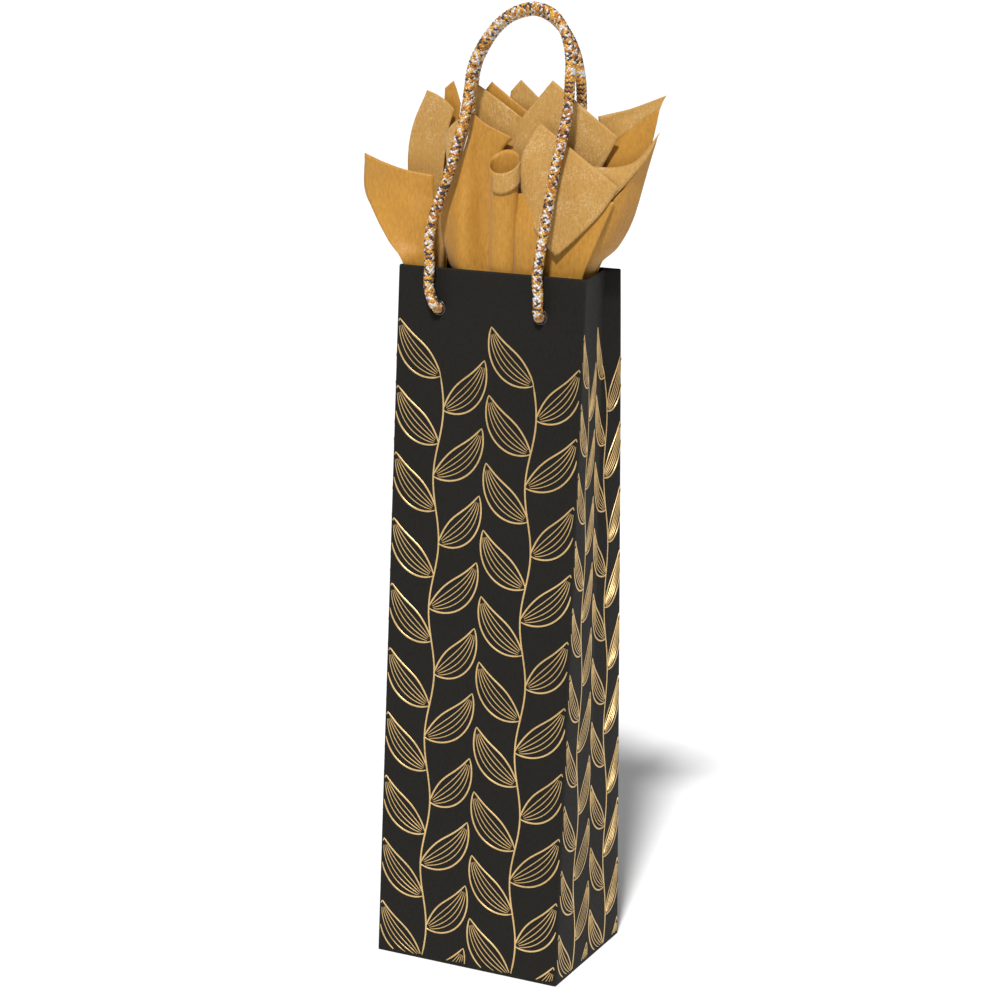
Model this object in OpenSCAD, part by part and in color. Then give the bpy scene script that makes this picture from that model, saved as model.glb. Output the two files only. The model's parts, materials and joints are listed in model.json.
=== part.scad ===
// Tall, narrow paper gift bag for one bottle, with two rope handles and tissue paper.
// Millimetres. The origin is the middle of the base, on the surface the bag stands on.
// X runs along the front face, Y towards the back and Z up. The top is drawn in: the front
// and rear panels lean together, and each side panel has a shallow crease.

/* [Bag] */
// Height of the bag, without its handles
bag_height = 360; // [300:1:432]
// Width of the front face
bag_width = 103; // [85:1:130]
// Depth of the bag at its base
bag_depth = 79; // [65:1:95]
// How far the top of the front panel stands behind its bottom
front_setback = 20; // [5:1:24]
// How far the top of the rear panel stands in front of its bottom
rear_setback = 15; // [5:1:20]
// Thickness of the paper
paper_t = 0.4; // [0.3:0.05:0.6]

/* [Side creases] */
// How far the side creases lean in at the top
crease_in = 6; // [2:0.5:9]
// How far the top of each side crease stands in front of the rear panel
crease_from_rear = 8.5; // [6:0.5:20]
// Height above the base at which the side creases begin
crease_start = 39.5; // [20:0.5:60]

/* [Top edge] */
// Depth of the paper turned in around the top
turn_in = 40; // [30:1:60]
// Thickness of the stiffening card inside the turned-in top
hem_card_t = 1.2; // [0.8:0.1:2]
// Gap between the card and each side of the bag
hem_card_gap = 4; // [3:0.5:8]

/* [Base] */
// Thickness of the stiffening card in the base
base_card_t = 1.5; // [1:0.1:3]
// Gap around the base card
base_card_gap = 1; // [0.5:0.25:3]
// How far the front and rear base flaps run past the middle of the base
flap_overlap = 8; // [4:1:16]
// Length of the two side base flaps
side_flap = 34; // [20:1:40]
// Width of the glued seam tab
seam_tab_w = 15; // [10:1:25]

/* [Eyelets] */
// Distance from a panel's side edge to the middle of a rope hole
hole_inset = 23.5; // [18:0.5:28]
// Distance from the top edge down to the middle of a rope hole
hole_drop = 20; // [15:1:26]
// Bore of an eyelet
eyelet_bore = 6; // [5.8:0.1:7.5]
// Wall thickness of an eyelet's barrel
eyelet_wall = 0.3; // [0.2:0.05:0.4]
// How far an eyelet's flange stands out around its barrel
eyelet_rim = 0.5; // [0.4:0.1:2]
// Thickness of an eyelet's flange
eyelet_flange_t = 0.4; // [0.3:0.05:0.6]
// Outer diameter of the washer behind an eyelet
washer_d = 10; // [9:0.5:12]
// Thickness of the washer
washer_t = 0.3; // [0.2:0.05:0.5]

/* [Rope] */
// Diameter of the rope
rope_d = 5.6; // [4.5:0.1:5.6]
// Diameter of the knot at each end of a rope
knot_d = 12; // [10:0.5:13]
// Length of the rope left below each knot
rope_tail = 14; // [8:1:25]

// Distance from a panel's face to the middle of the rope, where its handle turns
rope_standoff = 3.8; // [3.7:0.1:4.5]

/* [Tissue] */
// How far the tissue reaches down inside the bag
tissue_depth = 60; // [50:5:120]

/* [Hidden] */
$fn = 48;
fit_gap = 0.05;
fold_gap = 0.2;
corner_gap = 0.5;
rope_sides = 10;
half_w = bag_width / 2;
half_d = bag_depth / 2;
front_lean = atan(front_setback / bag_height);
rear_lean = atan(rear_setback / bag_height);
hem_t = hem_card_t + 2 * paper_t;
hole_z = bag_height - hole_drop;
hole_x = half_w - hole_inset;
barrel_r = eyelet_bore / 2 + eyelet_wall;
flap_top = 3 * paper_t;
inner_floor = flap_top + base_card_t;
crease_y = half_d - rear_setback - crease_from_rear;
tissue_foot = bag_height - tissue_depth;
mouth_front = front_setback + hem_t - half_d;
mouth_depth = bag_depth - front_setback - rear_setback - 2 * hem_t;
tissue_t = mouth_depth / 10;
// Half the width between the knots, and the inner and outer edge of the room beside them
between_knots = hole_x - knot_d / 2 - 2;
beside_knot = hole_x + knot_d / 2 + 3.5;
beside_wall = half_w - 6.5;

// Middle line of the front handle, from the left rope hole to the right one, as it stands
// when the bag is 360 high and 79 deep.
front_route = [
    [-28, -24.5, 340], [-32, -24, 350], [-32, -23.5, 361], [-33, -22, 373], [-32, -20, 384],
    [-29, -18, 395], [-25, -16, 408], [-22, -14, 421], [-19, -12, 434], [-18, -10, 446],
    [-17, -8, 458], [-13, -6.5, 468], [-6, -5, 478], [3, -4, 485], [14, -3.5, 488],
    [24, -4, 485], [31, -5, 477], [35, -7, 466], [36, -9, 454], [36, -10, 443],
    [35, -12, 431], [33, -14, 419], [31, -16, 406], [30, -18, 394], [29, -20, 383],
    [28, -22, 372], [27, -23.5, 361], [28, -24, 350], [28, -24.5, 340]
];
// Middle line of the rear handle, from the left rope hole to the right one.
rear_route = [
    [-28, 29, 340], [-31, 29, 350], [-31, 28, 361], [-32, 26, 373], [-32, 24, 384],
    [-31, 22, 395], [-30, 20, 408], [-29, 17, 421], [-28, 15, 434], [-27, 13, 444],
    [-25, 11, 455], [-20, 8.5, 465], [-11, 5.5, 476], [-1, 3.5, 483], [11, 3, 486],
    [20, 3.5, 483], [27, 5, 476], [31, 8, 466], [33, 10, 454], [33, 12, 442],
    [32, 14, 430], [31, 16, 418], [30, 18, 406], [29, 20, 395], [28, 23, 383],
    [27, 26, 372], [27, 28, 361], [28, 29, 350], [28, 29, 340]
];

// ---- Shared geometry ----

// Y of the front panel's outer face at a height
function front_y(z) = -half_d + front_setback * z / bag_height;

// Y of the rear panel's outer face at a height
function rear_y(z) = half_d - rear_setback * z / bag_height;

// How far a side crease leans in at a height
function crease_x(z) = crease_in * max(0, z - crease_start) / (bag_height - crease_start);

// Y of a side crease at a height
function crease_line(z) = crease_y * max(0, z - crease_start) / (bag_height - crease_start);

// A slab parallel to the front panel, from one depth behind its outer face to another
module front_slab(from_t, to_t, from_z, to_z, width) {
    translate([-width / 2, 0, 0]) rotate([90, 0, 90]) linear_extrude(width)
        polygon([
            [front_y(from_z) + from_t, from_z], [front_y(from_z) + to_t, from_z],
            [front_y(to_z) + to_t, to_z], [front_y(to_z) + from_t, to_z]
        ]);
}

// A slab parallel to the rear panel, from one depth in front of its outer face to another
module rear_slab(from_t, to_t, from_z, to_z, width) {
    translate([-width / 2, 0, 0]) rotate([90, 0, 90]) linear_extrude(width)
        polygon([
            [rear_y(from_z) - to_t, from_z], [rear_y(from_z) - from_t, from_z],
            [rear_y(to_z) - from_t, to_z], [rear_y(to_z) - to_t, to_z]
        ]);
}

// Places children at a rope hole, with Z running into the bag along the hole.
// face is -1 for the front panel and 1 for the rear one; side is -1 for left, 1 for right.
module at_hole(face, side) {
    lean = face < 0 ? front_lean : rear_lean;
    y = face < 0 ? front_y(hole_z) : rear_y(hole_z);
    translate([side * hole_x, y, hole_z]) rotate([face * (90 + lean), 0, 0]) children();
}

// The pair of holes through a panel and everything behind it
module hole_pair(face, radius) {
    for (side = [-1, 1])
        at_hole(face, side) translate([0, 0, -hem_t]) cylinder(r = radius, h = 3 * hem_t);
}

// A bent sheet that follows a side panel. inset is its depth behind the outer face, and
// trim keeps it clear of the front and rear panels. side is -1 for left, 1 for right.
module side_skin(side, inset, trim, rows) {
    function y_at(z, column) =
        column == 0 ? front_y(z) + trim : column == 1 ? crease_line(z) : rear_y(z) - trim;
    function share(z, column) =
        column == 0 ? trim / (crease_line(z) - front_y(z))
        : column == 1 ? 1 : trim / (rear_y(z) - crease_line(z));
    function x_at(z, column) = half_w - inset - crease_x(z) * share(z, column);
    count = 3 * len(rows);
    outer = [for (z = rows) for (c = [0:2]) [side * x_at(z, c), y_at(z, c), z]];
    inner = [for (p = outer) p - [side * paper_t, 0, 0]];
    function flip(face) = side > 0 ? face : [face[2], face[1], face[0]];
    skin = [
        for (r = [0:len(rows) - 2]) for (c = [0:1])
            let (a = 3 * r + c, b = a + 1, e = a + 3, f = a + 4)
            each [flip([a, e, f]), flip([a, f, b])]
    ];
    back = [for (face = skin) [face[2] + count, face[1] + count, face[0] + count]];
    rim = concat(
        [0, 1, 2],
        [for (r = [1:len(rows) - 1]) 3 * r + 2],
        [count - 2, count - 3],
        len(rows) > 2 ? [for (r = [len(rows) - 2:-1:1]) 3 * r] : []
    );
    edge = [
        for (k = [0:len(rim) - 1])
            let (a = rim[k], b = rim[(k + 1) % len(rim)])
            each [flip([a, b, b + count]), flip([a, b + count, a + count])]
    ];
    polyhedron(concat(outer, inner), concat(skin, back, edge), convexity = 4);
}

// ---- Paper ----

// The front face, with its two rope holes
module front_panel() {
    color([0.13, 0.12, 0.11]) difference() {
        front_slab(0, paper_t, 0, bag_height, bag_width);
        hole_pair(-1, barrel_r + fit_gap);
    }
}

// The rear face, with its two rope holes
module rear_panel() {
    color([0.13, 0.12, 0.11]) difference() {
        rear_slab(0, paper_t, 0, bag_height, bag_width);
        hole_pair(1, barrel_r + fit_gap);
    }
}

// A side face, creased down its middle
module side_panel(side) {
    color([0.1, 0.095, 0.09])
        side_skin(side, 0, paper_t, [0, crease_start, bag_height - turn_in, bag_height]);
}

// The tab that closes the body, glued inside the rear panel at its left edge
module seam_tab() {
    left = -half_w + paper_t + corner_gap + fold_gap * 3;
    color([0.8, 0.78, 0.74]) intersection() {
        rear_slab(paper_t, 2 * paper_t, inner_floor + 1, bag_height - turn_in - 1, bag_width);
        translate([left, -bag_depth, 0]) cube([seam_tab_w, 2 * bag_depth, bag_height]);
    }
}

// A base flap that runs from the front or rear panel past the middle. level counts papers up.
module long_flap(face, level) {
    reach = half_d - paper_t - corner_gap + flap_overlap;
    start = face < 0 ? -half_d + paper_t + corner_gap : -flap_overlap;
    width = bag_width - 2 * paper_t - 2 * fold_gap;
    color([0.78, 0.76, 0.72])
        translate([-width / 2, start, level * paper_t]) cube([width, reach, paper_t]);
}

// A base flap from a side panel, with its corners cut back
module short_flap(side) {
    wide = half_d - paper_t - corner_gap;
    narrow = wide - side_flap / 2;
    outer = half_w - paper_t - fold_gap;
    color([0.78, 0.76, 0.72]) translate([0, 0, 2 * paper_t]) linear_extrude(paper_t)
        polygon([
            [side * outer, -wide], [side * outer, wide],
            [side * (outer - side_flap), narrow], [side * (outer - side_flap), -narrow]
        ]);
}

// The stiff card that lies on the base flaps
module base_card() {
    width = bag_width - 2 * (paper_t + base_card_gap);
    depth = bag_depth - 2 * (paper_t + base_card_gap);
    color([0.72, 0.66, 0.55])
        translate([-width / 2, -depth / 2, flap_top]) cube([width, depth, base_card_t]);
}

// The paper folded over the front or rear hem card and down behind it
module turn_in_paper(face) {
    width = bag_width - 2 * hem_card_gap;
    color([0.13, 0.12, 0.11]) difference() {
        if (face < 0) {
            union() {
                front_slab(paper_t + hem_card_t, hem_t, bag_height - turn_in, bag_height, width);
                front_slab(paper_t, hem_t, bag_height - paper_t, bag_height, width);
            }
        } else {
            union() {
                rear_slab(paper_t + hem_card_t, hem_t, bag_height - turn_in, bag_height, width);
                rear_slab(paper_t, hem_t, bag_height - paper_t, bag_height, width);
            }
        }
        hole_pair(face, barrel_r + fit_gap);
    }
}

// The paper turned in behind a side panel's top
module side_turn_in(side) {
    color([0.1, 0.095, 0.09])
        side_skin(side, paper_t + fold_gap, hem_t + corner_gap, [bag_height - turn_in, bag_height]);
}

// The stiff card inside the turned-in front or rear top
module hem_card(face) {
    width = bag_width - 2 * hem_card_gap;
    low = bag_height - turn_in + 1;
    high = bag_height - paper_t;
    color([0.62, 0.58, 0.5]) difference() {
        if (face < 0) front_slab(paper_t, paper_t + hem_card_t, low, high, width);
        else rear_slab(paper_t, paper_t + hem_card_t, low, high, width);
        hole_pair(face, barrel_r + fit_gap);
    }
}

// ---- Eyelets and rope ----

// A black eyelet: a flange on the outer face and a barrel through the hem
module eyelet(face, side) {
    color([0.07, 0.07, 0.07]) at_hole(face, side) difference() {
        union() {
            translate([0, 0, -eyelet_flange_t])
                cylinder(r = barrel_r + eyelet_rim, h = eyelet_flange_t);
            translate([0, 0, -eyelet_flange_t])
                cylinder(r = barrel_r, h = eyelet_flange_t + hem_t + washer_t);
        }
        translate([0, 0, -hem_t]) cylinder(d = eyelet_bore, h = 4 * hem_t);
    }
}

// The washer that an eyelet's barrel is set into, against the turned-in paper
module washer(face, side) {
    lean = face < 0 ? front_lean : rear_lean;
    color([0.07, 0.07, 0.07]) at_hole(face, side)
        translate([0, 0, hem_t * cos(lean)]) difference() {
            cylinder(d = washer_d, h = washer_t);
            translate([0, 0, -washer_t]) cylinder(r = barrel_r + fit_gap, h = 3 * washer_t);
        }
}

// The rope through an eyelet, with its tail inside the bag and its knot against the barrel
module rope_end(face, side) {
    knot_at = hem_t + washer_t + sqrt(pow(knot_d / 2, 2) - pow(eyelet_bore / 2, 2)) + fit_gap;
    color([0.72, 0.55, 0.32]) at_hole(face, side) union() {
        cylinder(d = rope_d, h = knot_at);
        translate([0, 0, knot_at]) sphere(d = knot_d);
        translate([0, 0, knot_at]) rotate([-90, 0, 0])
            cylinder(d = rope_d, h = rope_tail);
    }
}

// Unit vector
function unit(v) = v / norm(v);

// Direction of a route at one of its points
function heading(route, k) =
    unit(route[min(k + 1, len(route) - 1)] - route[max(k - 1, 0)]);

// One ring of points around a route. across is a direction that the route never takes.
function ring(route, k, radius, across) =
    let (along = heading(route, k), u = unit(cross(along, across)), v = cross(along, u))
    [for (s = [0:rope_sides - 1])
        let (turn = 360 * s / rope_sides)
        route[k] + radius * (cos(turn) * u + sin(turn) * v)];

// A tube of rope swept along a route
module rope(route) {
    rings = len(route);
    points = [for (k = [0:rings - 1]) each ring(route, k, rope_d / 2, [0, 1, 0])];
    walls = [
        for (k = [0:rings - 2]) for (s = [0:rope_sides - 1])
            let (a = k * rope_sides + s, b = k * rope_sides + (s + 1) % rope_sides)
            each [[a, b, b + rope_sides], [a, b + rope_sides, a + rope_sides]]
    ];
    first = [for (s = [rope_sides - 1:-1:0]) s];
    last = [for (s = [0:rope_sides - 1]) (rings - 1) * rope_sides + s];
    polyhedron(points, concat(walls, [first, last]), convexity = 6);
}

// A route made to start at a panel's rope holes. Its top, at top_y, stays over the mouth.
function standing(route, start_y, top_y) =
    let (stretch = (start_y - top_y) / (route[0][1] - top_y))
    [for (p = route) [p[0], top_y + (p[1] - top_y) * stretch, p[2] - route[0][2] + hole_z]];

module front_handle_rope() {
    color([0.72, 0.55, 0.32])
        rope(standing(front_route, front_y(hole_z) - rope_standoff, -3.5));
}

module rear_handle_rope() {
    color([0.72, 0.55, 0.32])
        rope(standing(rear_route, rear_y(hole_z) + rope_standoff, 3));
}

// ---- Tissue ----

// A gathered sheet: a stem that stands in the bag from one x to another, and above the rim
// an outline given from its right side to its left, with z counted from the rim.
// depth_share is the place of its middle, from 0 at the front of the mouth to 1 at the rear.
module tissue(stem, outline, depth_share) {
    above = [for (p = outline) [p[0], bag_height + p[1]]];
    middle = mouth_front + depth_share * mouth_depth;
    color([0.84, 0.62, 0.25]) translate([0, middle + tissue_t / 2, 0]) rotate([90, 0, 0])
        linear_extrude(tissue_t)
            polygon(concat([[stem[0], tissue_foot], [stem[1], tissue_foot]], above));
}

module tissue_left_front() {
    inner = -beside_knot;
    outer = -beside_wall;
    tissue(
        [outer - 1, inner],
        [[inner, 2], [inner, 44], [outer - 9, 46], [outer - 36, 53], [outer - 38, 33],
            [outer - 4, 6], [outer - 2, 1]],
        0.2125
    );
}

module tissue_left_rear() {
    inner = -beside_knot + 1.5;
    outer = -beside_wall;
    tissue(
        [outer + 1, inner],
        [[inner, 2], [inner + 2, 20], [inner + 3, 86], [outer - 3, 86], [outer - 12, 65],
            [outer - 11, 40], [outer, 2]],
        0.5375
    );
}

module tissue_front_roll() {
    edge = between_knots;
    tissue(
        [2 - edge, edge - 2],
        [[edge - 1, 2], [edge + 2, 24], [edge - 2, 44], [4, 52], [-8, 51], [6 - edge, 44],
            [-edge, 24], [1 - edge, 2]],
        0.1625
    );
}

module tissue_front_leaf() {
    edge = between_knots;
    tissue(
        [6, edge],
        [[edge + 1, 3], [edge + 11, 10], [edge + 40, 44], [19, 73], [9, 49], [8, 20], [6, 2]],
        0.3
    );
}

module tissue_rear_leaf() {
    edge = between_knots;
    tissue(
        [-8, edge],
        [[edge + 4, 4], [edge + 26, 58], [edge + 24, 72], [22, 93], [6, 70], [-8, 30]],
        0.525
    );
}

module tissue_rear_tall() {
    edge = between_knots - 2;
    tissue(
        [-edge, edge],
        [[edge + 1, 2], [17, 68], [11, 85], [0, 92], [-8, 88], [-16, 60], [-edge, 4]],
        0.6375
    );
}

module tissue_right_front() {
    inner = beside_knot;
    outer = beside_wall;
    tissue(
        [inner, outer],
        [[outer + 1, 1], [outer + 5, 8], [outer + 28, 44], [outer + 34, 70], [outer + 15, 66],
            [inner + 2.5, 40], [inner, 10]],
        0.4125
    );
}

module tissue_right_rear() {
    inner = beside_knot;
    outer = beside_wall;
    tissue(
        [inner, outer - 1],
        [[outer, 1], [outer + 3, 8], [outer + 25, 44], [outer + 32, 68], [outer + 35, 88],
            [outer + 17, 76], [inner + 2.5, 62], [inner, 20]],
        0.6375
    );
}

front_panel();
rear_panel();
side_panel(-1);  // left_side_panel
side_panel(1);  // right_side_panel
seam_tab();
long_flap(-1, 0);  // base_front_flap
long_flap(1, 1);  // base_rear_flap
short_flap(-1);  // base_left_flap
short_flap(1);  // base_right_flap
base_card();
turn_in_paper(-1);  // front_turn_in
turn_in_paper(1);  // rear_turn_in
side_turn_in(-1);  // left_turn_in
side_turn_in(1);  // right_turn_in
hem_card(-1);  // front_hem_card
hem_card(1);  // rear_hem_card
eyelet(-1, -1);  // eyelet_front_left
eyelet(-1, 1);  // eyelet_front_right
eyelet(1, -1);  // eyelet_rear_left
eyelet(1, 1);  // eyelet_rear_right
washer(-1, -1);  // washer_front_left
washer(-1, 1);  // washer_front_right
washer(1, -1);  // washer_rear_left
washer(1, 1);  // washer_rear_right
rope_end(-1, -1);  // rope_end_front_left
rope_end(-1, 1);  // rope_end_front_right
rope_end(1, -1);  // rope_end_rear_left
rope_end(1, 1);  // rope_end_rear_right
front_handle_rope();
rear_handle_rope();
tissue_left_front();
tissue_left_rear();
tissue_front_roll();
tissue_front_leaf();
tissue_rear_leaf();
tissue_rear_tall();
tissue_right_front();
tissue_right_rear();
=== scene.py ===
"""Wine gift bag: a tall paper bag with braided rope handles, foil leaves and gold tissue.

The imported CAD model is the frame. Lengths in the tables below are millimetres, and every
mesh is made in metres in the frame's own axes: X along the front, Y to the back, Z up.
"""

import json
import logging
import math
from dataclasses import dataclass, field
from enum import Enum
from typing import Callable, Dict, List, Optional, Sequence, Tuple

import bpy
from mathutils import Matrix, Vector, noise

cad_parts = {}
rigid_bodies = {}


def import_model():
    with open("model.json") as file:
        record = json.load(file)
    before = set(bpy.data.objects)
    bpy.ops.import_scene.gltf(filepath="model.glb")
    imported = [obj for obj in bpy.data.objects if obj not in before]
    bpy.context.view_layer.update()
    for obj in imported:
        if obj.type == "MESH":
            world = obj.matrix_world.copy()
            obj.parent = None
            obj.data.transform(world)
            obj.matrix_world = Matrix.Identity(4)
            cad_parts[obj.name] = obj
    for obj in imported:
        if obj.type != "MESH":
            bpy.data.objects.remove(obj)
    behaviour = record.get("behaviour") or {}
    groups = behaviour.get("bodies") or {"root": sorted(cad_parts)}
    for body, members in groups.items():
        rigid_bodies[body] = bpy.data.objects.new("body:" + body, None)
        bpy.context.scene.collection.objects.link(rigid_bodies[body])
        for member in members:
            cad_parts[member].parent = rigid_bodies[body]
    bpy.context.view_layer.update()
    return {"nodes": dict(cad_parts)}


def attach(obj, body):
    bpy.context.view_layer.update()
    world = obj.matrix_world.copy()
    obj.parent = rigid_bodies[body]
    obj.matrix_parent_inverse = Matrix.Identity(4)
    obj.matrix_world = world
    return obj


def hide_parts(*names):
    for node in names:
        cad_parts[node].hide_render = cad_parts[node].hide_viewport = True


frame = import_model()

LOG = logging.getLogger("gift_bag")
MM = 0.001

Point = Tuple[float, float, float]
Flat = Tuple[float, float]
Colour = Tuple[float, float, float]


class Body(Enum):
    """The moving groups of the frame."""

    BAG = "bag"
    FRONT_HANDLE = "front_handle"
    REAR_HANDLE = "rear_handle"
    LEFT_TISSUE = "left_tissue"
    FRONT_TISSUE = "front_tissue"
    REAR_TISSUE = "rear_tissue"
    RIGHT_TISSUE = "right_tissue"


class Slot(Enum):
    """The record's material slots."""

    PRINTED = "printed_paper"
    BARE = "bare_paper"
    CARD = "stiff_card"
    EYELET = "black_eyelet"
    ROPE = "braided_rope"
    TISSUE = "tissue_paper"


class Side(Enum):
    """The four faces of the bag."""

    FRONT = "front"
    RIGHT = "right"
    REAR = "rear"
    LEFT = "left"


# ---------------------------------------------------------------- shader nodes


@dataclass
class Graph:
    """A short way to place and join nodes in one node tree."""

    tree: bpy.types.NodeTree

    def node(self, kind: str, sockets: Optional[dict] = None,
             **settings: object) -> bpy.types.Node:
        """Place a node.

        Args:
            kind: the node's type name.
            sockets: input names or numbers, each with a value or a socket to join.
            settings: the node's own properties.

        Returns:
            The new node.
        """
        made = self.tree.nodes.new(kind)
        for key, value in settings.items():
            setattr(made, key, value)
        for key, value in (sockets or {}).items():
            if isinstance(value, bpy.types.NodeSocket):
                self.tree.links.new(value, made.inputs[key])
            else:
                made.inputs[key].default_value = value
        return made

    def blend(self, share: object, low: object, high: object) -> bpy.types.NodeSocket:
        """Mix two colours.

        Args:
            share: how much of the second colour shows.
            low: the first colour.
            high: the second colour.

        Returns:
            The mixed colour's socket.
        """
        made = self.node("ShaderNodeMix", data_type="RGBA")
        for index, value in ((0, share), (6, low), (7, high)):
            if isinstance(value, bpy.types.NodeSocket):
                self.tree.links.new(value, made.inputs[index])
            elif index == 0:
                made.inputs[index].default_value = value
            else:
                made.inputs[index].default_value = (*value, 1.0)
        return made.outputs[2]

    def spread(self, value: object, low: float, high: float, start: float = 0.0,
               stop: float = 1.0) -> bpy.types.NodeSocket:
        """Move a value from one range to another.

        Args:
            value: the value's socket.
            low: the result at start.
            high: the result at stop.
            start: the value that gives low.
            stop: the value that gives high.

        Returns:
            The result's socket.
        """
        sockets = {0: value, 1: start, 2: stop, 3: low, 4: high}
        return self.node("ShaderNodeMapRange", sockets).outputs[0]


@dataclass(frozen=True)
class Effect:
    """A shared shader effect, kept as one node group.

    Attributes:
        title: the group's name.
        inputs: input names with their starting values.
        outputs: output names.
        build: fills the group, from its graph, its inputs and its output node.
    """

    title: str
    inputs: Tuple[Tuple[str, float], ...]
    outputs: Tuple[str, ...]
    build: Callable[[Graph, dict, bpy.types.Node], None]

    def group(self) -> bpy.types.NodeTree:
        """Return the node group, made on its first use."""
        ready = bpy.data.node_groups.get(self.title)
        if ready:
            return ready
        tree = bpy.data.node_groups.new(self.title, "ShaderNodeTree")
        for name, value in self.inputs:
            socket = tree.interface.new_socket(
                name=name, in_out="INPUT", socket_type="NodeSocketFloat")
            socket.default_value = value
        for name in self.outputs:
            tree.interface.new_socket(
                name=name, in_out="OUTPUT", socket_type="NodeSocketFloat")
        graph = Graph(tree)
        entry = graph.node("NodeGroupInput")
        leave = graph.node("NodeGroupOutput")
        self.build(graph, {s.name: s for s in entry.outputs if s.name}, leave)
        return tree

    def place(self, graph: Graph, **values: float) -> bpy.types.Node:
        """Put this effect into a material.

        Args:
            graph: the material's graph.
            values: input values, with _ for a space in a name.

        Returns:
            The group node.
        """
        node = graph.node("ShaderNodeGroup", node_tree=self.group())
        for name, value in values.items():
            node.inputs[name.replace("_", " ")].default_value = value
        return node


def rest_position(graph: Graph) -> bpy.types.NodeSocket:
    """Return the socket of a piece's own coordinates, which move with it."""
    return graph.node("ShaderNodeTexCoord").outputs["Object"]


def join(graph: Graph, leave: bpy.types.Node, **sockets: bpy.types.NodeSocket) -> None:
    """Join sockets to a group's outputs by name."""
    for name, socket in sockets.items():
        graph.tree.links.new(socket, leave.inputs[name])


def build_grain(graph: Graph, inputs: dict, leave: bpy.types.Node) -> None:
    """Fill the fibre grain group: fine fibres, and broad cloudy variation, which is random tone on
    paper and tissue and painted reflection on the gold foil.
    """
    place = rest_position(graph)
    lie = graph.node("ShaderNodeMapping", {0: place, 3: (1.0, 1.0, 0.35)})
    fine = graph.node("ShaderNodeTexNoise", {
        "Vector": lie.outputs[0], "Scale": inputs["Scale"], "Detail": 5.0, "Roughness": 0.62})
    broad = graph.node("ShaderNodeTexNoise", {
        "Vector": place, "Scale": inputs["Cloud Scale"], "Detail": 2.0})
    fibre = graph.spread(fine.outputs[0], 0.0, 1.0, 0.3, 0.7)
    cloud = graph.spread(broad.outputs[0], 0.0, 1.0, 0.3, 0.7)
    join(graph, leave, Fibre=fibre, Cloud=cloud)


def build_speckle(graph: Graph, inputs: dict, leave: bpy.types.Node) -> None:
    """Fill the speckle group: scattered pale flecks that gather in loose clouds."""
    place = rest_position(graph)
    flecks = graph.node("ShaderNodeTexNoise", {
        "Vector": place, "Scale": inputs["Scale"], "Detail": 3.0, "Roughness": 0.7})
    gather = graph.node("ShaderNodeTexNoise", {"Vector": place, "Scale": 90.0, "Detail": 1.0})
    both = graph.node("ShaderNodeMath", {
        0: flecks.outputs[0], 1: graph.spread(gather.outputs[0], -0.07, 0.07, 0.3, 0.7)},
        operation="ADD")
    edge = graph.node("ShaderNodeMath", {0: inputs["Threshold"], 1: 0.1}, operation="ADD")
    mask = graph.node("ShaderNodeMapRange", {
        0: both.outputs[0], 1: inputs["Threshold"], 2: edge.outputs[0]})
    join(graph, leave, Mask=mask.outputs[0])


def build_wear(graph: Graph, inputs: dict, leave: bpy.types.Node) -> None:
    """Fill the edge wear group: a mask of rubbed folds and rims, broken up by grain."""
    shape = graph.node("ShaderNodeNewGeometry")
    fold = graph.spread(shape.outputs["Pointiness"], 0.0, 1.0, 0.52, 0.62)
    rub = graph.node("ShaderNodeTexNoise", {
        "Vector": rest_position(graph), "Scale": 900.0, "Detail": 3.0})
    broken = graph.node("ShaderNodeMath", {0: fold, 1: rub.outputs[0]}, operation="MULTIPLY")
    amount = graph.node("ShaderNodeMath", {
        0: broken.outputs[0], 1: inputs["Amount"]}, operation="MULTIPLY", use_clamp=True)
    join(graph, leave, Mask=amount.outputs[0])


GRAIN = Effect("fibre_grain", (("Scale", 900.0), ("Cloud Scale", 25.0)), ("Fibre", "Cloud"),
               build_grain)
SPECKLE = Effect("pale_speckle", (("Scale", 700.0), ("Threshold", 0.55)), ("Mask",),
                 build_speckle)
WEAR = Effect("fold_wear", (("Amount", 1.0),), ("Mask",), build_wear)


# ---------------------------------------------------------------- finishes


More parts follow.
